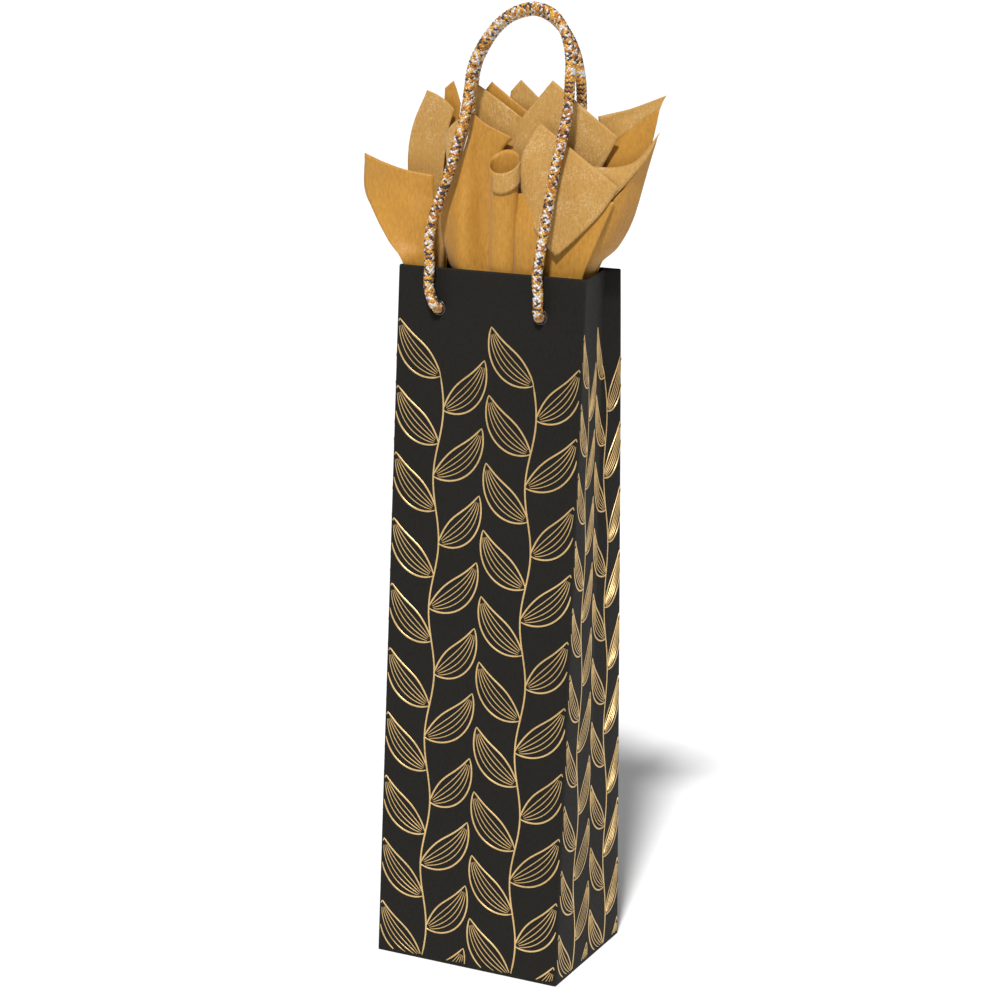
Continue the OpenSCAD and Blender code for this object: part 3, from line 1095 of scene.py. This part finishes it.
    def punch(self, piece: bpy.types.Object, side: Side) -> None:
        """Cut the two rope holes through a sheet.

        Args:
            piece: the sheet.
            side: the front or the rear.
        """
        y = self.form.front_y(self.hole_z) if side is Side.FRONT else self.form.rear_y(self.hole_z)
        for x in (-self.hole_x, self.hole_x):
            ring, count = [], 40
            for depth in (-6.0, 8.0):
                for k in range(count):
                    turn = math.tau * k / count
                    inward = depth if side is Side.FRONT else -depth
                    ring.append(((x + self.hole_r * math.cos(turn)) * MM, (y + inward) * MM,
                                 (self.hole_z + self.hole_r * math.sin(turn)) * MM))
            faces = [tuple(range(count)), tuple(range(2 * count - 1, count - 1, -1))]
            faces += [(k, k + count, (k + 1) % count + count, (k + 1) % count)
                      for k in range(count)]
            mesh = bpy.data.meshes.new("punch")
            mesh.from_pydata(ring, [], faces)
            tool = bpy.data.objects.new("punch", mesh)
            bpy.context.scene.collection.objects.link(tool)
            cut = piece.modifiers.new("rope hole", "BOOLEAN")
            cut.operation = "DIFFERENCE"
            cut.solver = "EXACT"
            cut.object = tool
        self.settle(piece)

    def settle(self, piece: bpy.types.Object) -> None:
        """Apply a piece's modifiers and clear away the punches."""
        bpy.context.view_layer.update()
        shape = piece.evaluated_get(bpy.context.evaluated_depsgraph_get())
        mesh = bpy.data.meshes.new_from_object(shape)
        piece.modifiers.clear()
        old = piece.data
        piece.data = mesh
        mesh.name = piece.name
        bpy.data.meshes.remove(old)
        for tool in [o for o in bpy.data.objects if o.name.startswith("punch")]:
            bpy.data.objects.remove(tool)


# ---------------------------------------------------------------- eyelets and knots


@dataclass
class RopeHole:
    """One rope hole, with its eyelet, washer and knotted rope end.

    Attributes:
        form: the bag's folded shape.
        face: the front or the rear.
        side: -1 for the left hole and 1 for the right one.
        hole_x: distance from the middle.
        hole_z: height.
    """

    form: BagForm
    face: Side
    side: int
    hole_x: float = 28.0
    hole_z: float = 340.0

    def name(self) -> str:
        """Return this hole's part of a piece name."""
        return f"{self.face.value}_{'left' if self.side < 0 else 'right'}"

    def axes(self) -> Tuple[Vector, Vector, Vector, Vector]:
        """Return the hole's middle on the face, and its across, up and inward directions."""
        form = self.form
        front = self.face is Side.FRONT
        lean = math.atan((form.front_in if front else form.rear_in) / form.height)
        y = form.front_y(self.hole_z) if front else form.rear_y(self.hole_z)
        way = 1.0 if front else -1.0
        inward = Vector((0, way * math.cos(lean), -math.sin(lean)))
        up = Vector((0, way * math.sin(lean), math.cos(lean)))
        return Vector((self.side * self.hole_x, y, self.hole_z)), Vector((1, 0, 0)), up, inward

    def lathe(self, name: str, profile: Sequence[Flat], node: str) -> None:
        """Turn a closed profile round the hole's axis.

        Args:
            name: the piece's name.
            profile: radius and depth into the bag of each point.
            node: the CAD node that it stands for.
        """
        middle, across, up, inward = self.axes()
        turns = 48
        points = []
        for k in range(turns):
            angle = math.tau * k / turns
            spoke = across * math.cos(angle) + up * math.sin(angle)
            points += [middle + spoke * r + inward * d for r, d in profile]
        count = len(profile)
        faces = []
        for k in range(turns):
            for n in range(count):
                a, b = k * count + n, k * count + (n + 1) % count
                c, d = ((k + 1) % turns) * count + (n + 1) % count, ((k + 1) % turns) * count + n
                faces.append((a, b, c, d))
        if self.face is Side.REAR:
            faces = [face[::-1] for face in faces]
        make_piece(name, points, faces, (LACQUER,), Body.BAG, [node])

    def build(self) -> None:
        """Build the eyelet, its washer and the rope end."""
        deep = self.form.hem + 0.3
        flange = [(3.0, 0.2), (3.03, -0.15), (3.15, -0.36), (3.35, -0.45), (3.58, -0.4),
                  (3.74, -0.22), (3.8, 0.0), (3.3, 0.02), (3.3, deep), (3.0, deep)]
        self.lathe(f"eyelet_ring_{self.name()}", flange, f"eyelet_{self.name()}")
        base = self.form.hem
        washer = [(3.36, base + 0.02), (5.0, base + 0.02), (4.95, base + 0.2),
                  (4.7, base + 0.34), (3.8, base + 0.4), (3.36, base + 0.3)]
        self.lathe(f"washer_ring_{self.name()}", washer, f"washer_{self.name()}")
        self.build_rope_end()

    def build_rope_end(self) -> None:
        """Build the rope through the hole, its knot and its tail, all braided."""
        middle, across, up, inward = self.axes()

        def at(x: float, y: float, depth: float) -> Vector:
            """Return a point from its place across, up and into the bag."""
            return middle + across * x + up * y + inward * depth

        knot_at = self.form.hem + 0.3 + 5.25
        stub = [at(0, 0, -4.6), at(0, 0, -2.0), at(0, 0, 1.0), at(0, 0, knot_at - 1.5)]
        points, faces, colours = Braid(2.75, pitch=14.0).mesh(stub)
        turns = []
        for k in range(25):
            t = math.tau * k / 24
            turns.append(at(1.35 * (math.sin(t) + 1.5 * math.sin(2 * t)),
                            1.35 * (math.cos(t) - 1.5 * math.cos(2 * t)),
                            knot_at - 1.9 * math.sin(3 * t)))
        tail = [at(0, 1, knot_at), at(0, -5, knot_at), at(0.6, -11, knot_at - 0.3),
                at(0, -16.5, knot_at), at(0, -19.5, knot_at)]
        for line, radius in ((turns, 2.1), (tail, 2.6)):
            more, quads, tints = Braid(radius, pitch=radius * 5.2).mesh(line)
            start = len(points)
            points += more
            faces += [tuple(start + n for n in quad) for quad in quads]
            colours += tints
        make_piece(f"rope_knot_{self.name()}", points, faces, YARNS, Body.BAG,
                   [f"rope_end_{self.name()}"], colours)


# ---------------------------------------------------------------- foil leaves


@dataclass(frozen=True)
class Leaf:
    """A line-drawn leaf: a curved midline that swells between its base and its tip.

    Attributes:
        spine: base, two guide points and tip, in millimetres from the panel's lower left.
        swell: half its width at its widest.
        veins: how many lines run inside it.
        lean: where it is widest, 0.5 for its middle.
    """

    spine: Tuple[Flat, Flat, Flat, Flat]
    swell: float
    veins: int
    lean: float = 0.5

    def lines(self) -> List[Tuple[List[Vector], float]]:
        """Draw the leaf.

        Returns:
            Each line's points with its width.
        """
        drawn = [(self.edge(-1.0), 0.95), (self.edge(1.0), 0.95)]
        for k in range(self.veins):
            share = -1.0 + 2.0 * (k + 1) / (self.veins + 1)
            line = self.edge(share * (0.86 if self.veins > 1 else 0.4))
            drawn.append((line[3:-3], 0.5))
        return drawn

    def edge(self, share: float) -> List[Vector]:
        """Return the line at a share of the leaf's half width from its midline."""
        a, b, c, d = (Vector(p) for p in self.spine)
        line = []
        count = 40
        for k in range(count + 1):
            t = k / count
            s = 1 - t
            middle = a * s ** 3 + b * (3 * s * s * t) + c * (3 * s * t * t) + d * t ** 3
            along = ((b - a) * (s * s) + (c - b) * (2 * s * t) + (d - c) * (t * t)).normalized()
            out = Vector((-along.y, along.x))
            bend = math.log(0.5) / math.log(self.lean)
            wide = self.swell * math.sin(math.pi * t ** bend) ** 0.85 if 0 < t < 1 else 0.0
            line.append(middle + out * (wide * share))
        return line


@dataclass(frozen=True)
class Vine:
    """A plain repeat worked out by rule: upright wavy stems with a leaf at each side in turn.

    Attributes:
        width: the panel's width in millimetres.
        stems: how many stems stand side by side.
        pitch: height from one leaf to the next on the same side.
        top: height the drawing stays below.
        wave: how far a stem swings to each side.
        rise: how far a leaf climbs from its base to its tip.
        gap: how far a leaf's tip stays from the middle between two stems.
        plump: half a leaf's width, as a share of the space between stems.
        veins: how many lines run inside a leaf.
    """

    width: float
    stems: int = 2
    pitch: float = 34.0
    top: float = 336.0
    wave: float = 2.2
    rise: float = 27.0
    gap: float = 1.6
    plump: float = 0.14
    veins: int = 4

    def stem_x(self, stem: int, z: float) -> float:
        """Return where a stem stands at a height."""
        middle = self.width / self.stems * (stem + 0.5)
        return middle + self.wave * math.sin(math.pi * z / self.pitch)

    def leaf(self, stem: int, hand: int, z: float) -> Leaf:
        """Place one leaf.

        Args:
            stem: which stem it grows from.
            hand: -1 for its left side, 1 for its right.
            z: the height of its base.

        Returns:
            The leaf.
        """
        x = self.stem_x(stem, z)
        spacing = self.width / self.stems
        reach = hand * (spacing / 2 - self.gap) - (x - spacing * (stem + 0.5))
        spine = ((x, z), (x + 0.38 * reach, z + 0.16 * self.rise),
                 (x + 0.86 * reach, z + 0.4 * self.rise), (x + reach, z + self.rise))
        return Leaf(spine, self.plump * spacing, self.veins, 0.48)

    def lines(self) -> List[Tuple[List[Vector], float]]:
        """Draw every stem and leaf.

        Returns:
            Each line's points with its width.
        """
        drawn = []
        for stem in range(self.stems):
            last = 0.0
            for step in range(-2, int(2 * self.top / self.pitch)):
                z = step * self.pitch / 2
                if z + self.rise > self.top:
                    break
                last = z
                drawn += self.leaf(stem, 1 if step % 2 else -1, z).lines()
            count = int(last / 2)
            heights = [last * n / count for n in range(count + 1)]
            drawn.append(([Vector((self.stem_x(stem, z), z)) for z in heights], 0.95))
        return drawn


@dataclass
class FoilLeaves:
    """Foil leaves that lie on one panel as thin raised lines.

    Attributes:
        form: the bag's folded shape.
        side: the panel.
        hole_x: rope holes to leave clear, from the panel's left edge.
    """

    form: BagForm
    side: Side
    hole_x: Tuple[float, ...] = ()
    hole_z: float = 340.0
    margin: float = 0.9

    def width(self) -> float:
        """Return the panel's width, the same for the whole panel."""
        wide = self.side in (Side.FRONT, Side.REAR)
        return self.form.width if wide else self.form.depth

    def drawn(self) -> List[Tuple[List[Vector], float]]:
        """Return every line of the drawing with its width."""
        return Vine(self.width()).lines()

    def build(self) -> None:
        """Lay the lines on the panel and dress them."""
        points: List[Vector] = []
        faces: List[Tuple[int, ...]] = []
        for number, (line, width) in enumerate(self.drawn()):
            proud = 0.05 + 0.0006 * number
            for run in self.clip(line):
                self.lay(run, width, proud, points, faces)
        make_piece(f"{self.side.value}_foil_leaves", points, faces, (FOIL_WITH_PAINTED_GLEAM,), Body.BAG,
                   smooth=False)
        LOG.info("%s panel has %d foil faces", self.side.value, len(faces))

    def clip(self, line: Sequence[Vector]) -> List[List[Vector]]:
        """Cut a line at the panel's edges and round its holes.

        Args:
            line: the line's points.

        Returns:
            The runs that stay.
        """
        top, wide = self.form.height - 6.0, self.width()
        runs: List[List[Vector]] = []
        current: List[Vector] = []
        dense: List[Vector] = []
        for a, b in zip(line, line[1:]):
            parts = max(1, math.ceil((b - a).length / 1.4))
            dense += [a.lerp(b, n / parts) for n in range(parts)]
        dense.append(line[-1])
        edge = self.margin
        for p in dense:
            inside = edge <= p.x <= wide - edge and 1.5 <= p.y <= top
            clear = all((p - Vector((x, self.hole_z))).length > 3.75 for x in self.hole_x)
            if inside and clear:
                current.append(p)
            elif current:
                runs.append(current)
                current = []
        if current:
            runs.append(current)
        return [run for run in runs if len(run) > 2]

    def lay(self, run: Sequence[Vector], width: float, proud: float, points: List[Vector],
            faces: List[Tuple[int, ...]]) -> None:
        """Lay one run as a thin closed ribbon.

        Args:
            run: the run's points.
            width: its width.
            proud: how far it stands off the paper.
            points: the mesh's points, added to.
            faces: the mesh's faces, added to.
        """
        first = len(points)
        wide = self.width()
        last = len(run) - 1
        for k, p in enumerate(run):
            along = (run[min(k + 1, last)] - run[max(k - 1, 0)]).normalized()
            out = Vector((-along.y, along.x))
            taper = min(1.0, 0.55 + 0.12 * min(k, last - k))
            for share, lift in ((-0.5, -0.03), (-0.34, proud), (0.34, proud), (0.5, -0.03)):
                spot = p + out * (share * width * taper)
                x = min(max(spot.x / wide, 0.008), 0.992)
                points.append(self.form.on_face(self.side, x, spot.y, lift))
        for k in range(last):
            a, b = first + 4 * k, first + 4 * k + 4
            faces += [(a + n, a + (n + 1) % 4, b + (n + 1) % 4, b + n) for n in range(4)]
        end = first + 4 * last
        faces.append((first, first + 3, first + 2, first + 1))
        faces.append((end, end + 1, end + 2, end + 3))


# ---------------------------------------------------------------- tissue


@dataclass
class TissueSheet:
    """A leaf of tissue paper, held by its foot in the bag.

    Attributes:
        name: the piece's name.
        body: the bunch that it moves with.
        node: the CAD node that it stands for, if it is the first to do so.
        rows: rows of points from foot to top, each from left to right.
        tones: the finish that faces the front and the one behind it.
        soft: how smooth the sheet is across and upwards, from 0 to 1.
        crumple: depth of its fine creases.
    """

    name: str
    body: Body
    node: Optional[str]
    rows: Tuple[Tuple[Point, ...], ...]
    tones: Tuple[Finish, Finish] = (TISSUE_GOLD, TISSUE_PALE)
    soft: Flat = (1.0, 1.0)
    crumple: float = 0.3
    thickness: float = 0.16

    def shape(self, across: int, upward: int) -> List[Vector]:
        """Spread a fine grid of points over the rows.

        Args:
            across: how many points in each row.
            upward: how many rows.

        Returns:
            The points, row by row.
        """
        rows = [[Vector(p) for p in row] for row in self.rows]
        columns = len(rows[0])
        grid = []
        for v in range(upward):
            place = v / (upward - 1) * (len(rows) - 1)
            spots = [curve_point([row[c] for row in rows], place, self.soft[1])
                     for c in range(columns)]
            for u in range(across):
                grid.append(curve_point(spots, u / (across - 1) * (columns - 1), self.soft[0]))
        return grid

    def build(self) -> bpy.types.Object:
        """Returns:
            The sheet.
        """
        column = [Vector(row[len(row) // 2]) for row in self.rows]
        width = max(line_length([Vector(p) for p in row]) for row in self.rows)
        across = max(8, round(width / 1.6))
        upward = max(8, round(line_length(column) / 1.8))
        grid = self.shape(across, upward)
        faces = grid_faces(upward, across)
        points = [self.creased(p, k) for k, p in enumerate(grid)]
        sheet = make_piece(self.name, points, faces, self.tones, self.body,
                           [self.node] if self.node else [])
        solid = sheet.modifiers.new("tissue thickness", "SOLIDIFY")
        solid.thickness = self.thickness * MM
        solid.offset = 0.0
        solid.material_offset = 1
        return sheet

    def creased(self, point: Vector, seed: int) -> Vector:
        """Return a point moved by the fine creases of tissue paper."""
        slow = noise.noise(point * 0.055 + Vector((2.0, 7.0, 1.0)))
        ridge = 1.0 - abs(noise.noise(point * 0.11 + Vector((5.0, 1.0, 8.0)))) * 2.0
        fine = noise.noise(point * 0.33)
        lift = self.crumple * (1.4 * slow + 0.7 * ridge ** 3 + 0.25 * fine)
        return point + Vector((0.15 * lift, lift, 0.1 * lift))


def tissue_sheets() -> List[TissueSheet]:
    """List the tissue sheets, from the front of the bag to the rear.

    Returns:
        The sheets.
    """
    gold, pale = TISSUE_GOLD, TISSUE_PALE
    return [
        TissueSheet("tissue_left_leaf", Body.LEFT_TISSUE, "tissue_left_front", (
            ((-46, -10, 322), (-44, -10.5, 322), (-41, -10, 322), (-38.5, -9, 322)),
            ((-47, -12, 345), (-45, -12.5, 345), (-41, -11.5, 345), (-38, -9.5, 345)),
            ((-51, -18.6, 362.8), (-46.5, -15.5, 362.5), (-41.5, -12, 362), (-37.6, -9, 362)),
            ((-59.5, -15.5, 370.5), (-52, -14, 371), (-44.5, -12, 371), (-37.6, -8, 372)),
            ((-70, -11, 383), (-59, -11.5, 384), (-48, -11.5, 385), (-37.8, -7, 384)),
            ((-78, -7, 395), (-64, -9, 397), (-51, -9.5, 396), (-38.5, -6, 394)),
            ((-77.5, -8, 413), (-65, -9, 409), (-53, -9, 406), (-39, -6.5, 404)))),
        TissueSheet("tissue_left_tall", Body.LEFT_TISSUE, "tissue_left_rear", (
            ((-44, 3, 322), (-42, 4, 322), (-40, 4, 322), (-37.5, 3, 322)),
            ((-45, 2, 362), (-42.5, 4, 362), (-40, 4, 362), (-37.5, 3, 362)),
            ((-54, 1, 385), (-49, 3, 385), (-44, 4, 385), (-37.5, 2, 385)),
            ((-57.5, 1, 405), (-51, 3, 405), (-45, 4, 405), (-38, 2, 405)),
            ((-56, 2, 425), (-49.5, 3.5, 425), (-43, 4.5, 425), (-36, 3, 424)),
            ((-48, 3, 445), (-43, 4, 443), (-38, 4.5, 440), (-33, 4, 436))),
            (pale, gold)),
        TissueSheet("tissue_left_back_tip", Body.LEFT_TISSUE, None, (
            ((-43, 7, 322), (-40, 8, 322), (-38, 7, 322)),
            ((-44, 7, 362), (-41, 8, 362), (-38, 7, 362)),
            ((-43, 7, 400), (-39, 8, 400), (-36, 7, 400)),
            ((-41, 7, 430), (-37, 8, 430), (-32, 7, 430)),
            ((-40, 7, 446), (-35.5, 8, 450), (-31, 7, 439))), soft=(0.0, 1.0)),
        TissueSheet("tissue_front_fold", Body.FRONT_TISSUE, "tissue_front_roll", (
            ((-17, -10, 322), (-11, -13, 322), (-7, -9, 322), (-2, -8, 322)),
            ((-19, -10, 348), (-13, -14.5, 348), (-8, -9, 348), (-2, -8, 348)),
            ((-29, -9, 362), (-18, -15, 361), (-9, -7.5, 361), (-3, -7, 361)),
            ((-33.5, -9, 382), (-19.5, -14, 384), (-12, -6, 384), (-5, -5, 386)),
            ((-29, -8.5, 400), (-20, -10, 402), (-13, -5, 402), (-7, -3, 404)),
            ((-22, -6.5, 418), (-18.5, -7.6, 419), (-14, -4, 419), (-3, -1.5, 418)),
            ((-18.5, -4.2, 434.5), (-17.5, -4.4, 435), (-11, -2.8, 430), (2, -1, 424)))),
        TissueSheet("tissue_front_lip", Body.FRONT_TISSUE, None, (
            ((-30.5, -6.5, 403), (-29.5, -7, 402.5), (-28.5, -7.8, 402)),
            ((-34, -3, 414), (-30, -4.5, 412), (-25, -6.8, 410)),
            ((-34.5, -2, 422), (-29, -3.5, 420), (-22.5, -6, 418)),
            ((-31.5, -1.5, 429), (-26, -3, 428), (-20.5, -5.4, 426)),
            ((-21, -3.2, 435.5), (-19.5, -3.8, 435.5), (-18.3, -4.6, 435))), (pale, gold)),
        TissueSheet("tissue_rear_speckled", Body.REAR_TISSUE, "tissue_rear_tall", (
            ((-14, 4, 322), (0, 5, 322), (12, 5, 322)),
            ((-16, 4, 362), (0, 4.5, 362), (14, 4.5, 362)),
            ((-18, 2, 395), (-4, 1.5, 395), (10, 2, 395)),
            ((-20, 2.5, 418), (-5, 2, 416), (9, 2.5, 414)),
            ((-22, 4, 450), (-7, 3.5, 441.5), (9, 3.5, 431))), (pale, gold)),
        TissueSheet("tissue_rear_gold_tip", Body.REAR_TISSUE, None, (
            ((-13, 7, 322), (0, 7.5, 322), (12, 7, 322)),
            ((-15, 7, 362), (0, 7.5, 362), (13, 7, 362)),
            ((-20, 6, 410), (-5, 6.5, 410), (11, 6, 410)),
            ((-19.5, 6, 443), (-13.5, 6.3, 450.5), (12, 6, 433))), soft=(0.0, 0.6)),
        TissueSheet("tissue_rear_pale_tip", Body.REAR_TISSUE, None, (
            ((-5, 8.5, 322), (2, 9, 322), (10, 8.5, 322)),
            ((-6, 8.5, 362), (3, 9, 362), (12, 8.5, 362)),
            ((-6, 8.5, 420), (3, 9, 420), (13, 8.5, 420)),
            ((-4, 8.5, 446), (1.5, 8.8, 452), (13, 8.5, 442))), (pale, gold), (0.0, 0.6)),
        TissueSheet("tissue_rear_diamond", Body.REAR_TISSUE, "tissue_rear_leaf", (
            ((-4, 1, 322), (1, 1.5, 322), (6, 1.5, 322), (11, 1.5, 322), (16, 1, 322)),
            ((-5, 1, 348), (1, 1.5, 348), (7, 1.5, 348), (13, 1.5, 348), (18, 1, 348)),
            ((-6, 1, 362), (2, 1, 362), (9, 1, 362), (17, 1.5, 362), (24, 1, 362)),
            ((-3, 1, 395), (7, 0.5, 395), (17, 0.5, 395), (28, 1, 395), (40, 1.5, 397)),
            ((1, 1, 418), (10, 0, 420), (21, 0, 422), (36, 0.5, 416), (50, 2, 414)),
            ((4, 1, 432), (13, 1, 442.5), (22, 1.5, 453), (39.5, 1.5, 440), (57, 2.5, 427))),
            (pale, gold), (0.0, 0.7)),
        TissueSheet("tissue_right_back", Body.RIGHT_TISSUE, "tissue_right_rear", (
            ((38.5, 7, 322), (41, 8, 322), (44, 8, 322)),
            ((39, 7, 348), (42, 8, 348), (44.5, 8, 348)),
            ((39.5, 7, 362), (43, 8.5, 362), (45.4, 10, 362)),
            ((42, 6, 386), (50, 7, 386), (60, 9, 388)),
            ((43, 5, 411), (58, 5, 412), (72, 6, 420)),
            ((49, 6.5, 420), (63.5, 7.5, 433), (77, 6.5, 442))), soft=(0.3, 1.0)),
        TissueSheet("tissue_right_back_flap", Body.RIGHT_TISSUE, None, (
            ((49, 6.8, 420), (63.5, 7.9, 431.5), (77, 6.8, 442)),
            ((45, 8.5, 430), (61, 9.5, 436.5), (78, 7.8, 445.5)),
            ((43, 9, 436), (60, 9.5, 440.5), (79.5, 8, 448))), (pale, gold), (0.4, 1.0)),
        TissueSheet("tissue_right_wrap", Body.RIGHT_TISSUE, "tissue_right_front", (
            ((38.5, -3.5, 322), (41, -3, 322), (44, -2.8, 322)),
            ((38.5, -4.5, 347), (42, -3, 347), (44.5, -1, 347)),
            ((40, -8, 362.5), (44.2, -1, 362.5), (45.2, 8, 362.5)),
            ((46, -8, 372), (52, -1, 372), (55.5, 9, 373)),
            ((53, -7, 388), (60.5, -2, 389), (64.5, 7, 389)),
            ((57, -6.3, 394), (65.5, -3, 403), (72.5, 3.5, 412)),
            ((58, -6, 397), (68, -4, 409), (79, 0, 430)))),
        TissueSheet("tissue_right_rim", Body.RIGHT_TISSUE, None, (
            ((57.5, -6.6, 397), (67.5, -4.8, 409), (75, -2.6, 419), (79.5, -0.6, 430)),
            ((52, -5.5, 406), (63, -5, 411.5), (72, -3.5, 418), (79.7, -0.4, 430.3)),
            ((46, -2.5, 413), (58, -2, 413.3), (69, -1.5, 417.5), (79.9, 0, 431))),
            (pale, gold)),
        TissueSheet("tissue_front_panel", Body.FRONT_TISSUE, None, (
            ((5, -11, 322), (11, -11.5, 322), (16, -11, 322)),
            ((7, -12, 348), (13, -13, 348), (18.5, -11, 348)),
            ((9, -12.5, 361), (17, -14, 361), (25, -12, 361)),
            ((9, -12.5, 381), (17, -13.5, 381), (26, -11.5, 379)),
            ((9, -10, 398), (16, -10.5, 399), (22, -9, 398)))),
        TissueSheet("tissue_front_under", Body.FRONT_TISSUE, None, (
            ((8, -8, 322), (12, -8.5, 322), (17, -8, 322)),
            ((10, -8, 347), (15, -8.5, 347), (19, -8, 347)),
            ((20, -9, 353), (30, -9.5, 353), (41, -8.5, 353)),
            ((22, -10, 363), (34, -10, 363), (46, -9, 363)),
            ((24, -9, 380), (38, -9, 380), (53, -8, 380)),
            ((24, -7, 396), (42, -7, 397), (60, -7, 397)))),
        TissueSheet("tissue_front_diamond", Body.FRONT_TISSUE, "tissue_front_leaf", (
            ((11, -9.5, 400), (16, -11.5, 388), (23, -13.5, 378), (32, -13, 369)),
            ((10.5, -10, 412), (20, -12, 398), (31, -12.5, 387), (43, -10.5, 379.5)),
            ((13.5, -8.5, 423), (26, -10.5, 411.5), (40, -10.5, 401), (54, -8.5, 391.5)),
            ((19, -6, 433), (33, -7.5, 424), (48, -8, 414), (62, -7, 404))), (pale, gold),
            crumple=0.2),
    ]


@dataclass
class TissueRoll:
    """A leaf of tissue rolled into a tube, with its top turned down as a cuff.

    Attributes:
        middle: the tube's middle at the rim, across and back.
        radii: its half width and half depth.
        foot: the height of its foot.
        low: the height of its mouth at the front.
        high: the height of its mouth at the back.
    """

    middle: Flat = (2.6, -11.0)
    radii: Flat = (7.0, 4.6)
    foot: float = 322.0
    low: float = 408.0
    high: float = 419.0

    def point(self, turn: float, z: float, grow: float = 0.0) -> Vector:
        """Return a point on the roll at a turn from the front, going right."""
        up = (z - self.foot) / (self.high - self.foot)
        x = self.middle[0] + (self.radii[0] + grow) * (0.86 + 0.14 * up) * math.sin(turn)
        y = self.middle[1] - (self.radii[1] + grow) * (0.8 + 0.2 * up) * math.cos(turn)
        return Vector((x + 0.25 * noise.noise(Vector((turn, z / 22.0, 4.0))), y, z))

    def mouth(self, turn: float) -> float:
        """Return the height of the mouth at a turn."""
        return self.low + (self.high - self.low) * (0.5 - 0.5 * math.cos(turn))

    def build(self) -> None:
        gold, pale = TISSUE_GOLD, TISSUE_PALE
        turns, levels = 60, 46
        start, stop = -2.3, 4.4
        points = []
        for v in range(levels):
            for u in range(turns):
                turn = start + (stop - start) * u / (turns - 1)
                z = self.foot + (self.mouth(turn) - self.foot) * v / (levels - 1)
                points.append(self.point(turn, z, 0.9 * (1 - u / (turns - 1))))
        self.sheet("tissue_front_roll_tube", points, levels, turns, (gold, gold))
        points = []
        cuff_turns, cuff_levels = 26, 8
        for v in range(cuff_levels):
            for u in range(cuff_turns):
                turn = -0.45 + 2.1 * u / (cuff_turns - 1)
                drop = 10.2 * (1 - v / (cuff_levels - 1))
                rise = self.mouth(turn) - drop + 0.3
                points.append(self.point(turn, rise, 1.45 - 0.25 * v / (cuff_levels - 1)))
        self.sheet("tissue_front_roll_cuff", points, cuff_levels, cuff_turns, (pale, gold))

    def sheet(self, name: str, points: Sequence[Vector], rows: int, columns: int,
              tones: Tuple[Finish, Finish]) -> None:
        """Make one sheet of the roll.

        Args:
            name: the piece's name.
            points: its points, row by row.
            rows: how many rows.
            columns: how many points in a row.
            tones: its outer and inner finish.
        """
        piece = make_piece(name, points, grid_faces(rows, columns), tones, Body.FRONT_TISSUE)
        solid = piece.modifiers.new("tissue thickness", "SOLIDIFY")
        solid.thickness = 0.16 * MM
        solid.offset = 0.0
        solid.material_offset = 1


# ---------------------------------------------------------------- carried-over parts


@dataclass
class InnerParts:
    """The parts kept from the frame: the seam tab, the base flaps and the base card."""

    finishes: Dict[str, Finish] = field(default_factory=lambda: {
        "seam_tab": BARE, "base_front_flap": PRINTED, "base_rear_flap": PRINTED,
        "base_left_flap": BARE, "base_right_flap": BARE, "base_card": CARD})

    def dress(self) -> None:
        """Give each kept part its finish."""
        for name, finish in self.finishes.items():
            part = frame["nodes"][name]
            part.data.materials.clear()
            part.data.materials.append(finish.material())


def write_sizes() -> None:
    """Log the end of the build; no sizes are written."""
    LOG.info("sizes written")


def main() -> None:
    """Build the whole scene in order."""
    logging.basicConfig(level=logging.INFO, format="%(name)s: %(message)s")
    studio = Studio()
    studio.place_camera()
    HandleRope(Side.FRONT, Body.FRONT_HANDLE, FRONT_ROUTE, -3.5, -24.411).build()
    HandleRope(Side.REAR, Body.REAR_HANDLE, REAR_ROUTE, 3.0, 29.133).build()
    form = BagForm()
    PaperBag(form).build()
    for face in (Side.FRONT, Side.REAR):
        for side in (-1, 1):
            RopeHole(form, face, side).build()
    holes = (23.5, 79.5)
    for side in (Side.FRONT, Side.REAR):
        FoilLeaves(form, side, hole_x=holes).build()
    for side in (Side.RIGHT, Side.LEFT):
        FoilLeaves(form, side).build()
    for sheet in tissue_sheets():
        sheet.build()
    TissueRoll().build()
    InnerParts().dress()
    studio.lay_floor()
    studio.light()
    write_sizes()


if __name__ == "__main__":
    main()
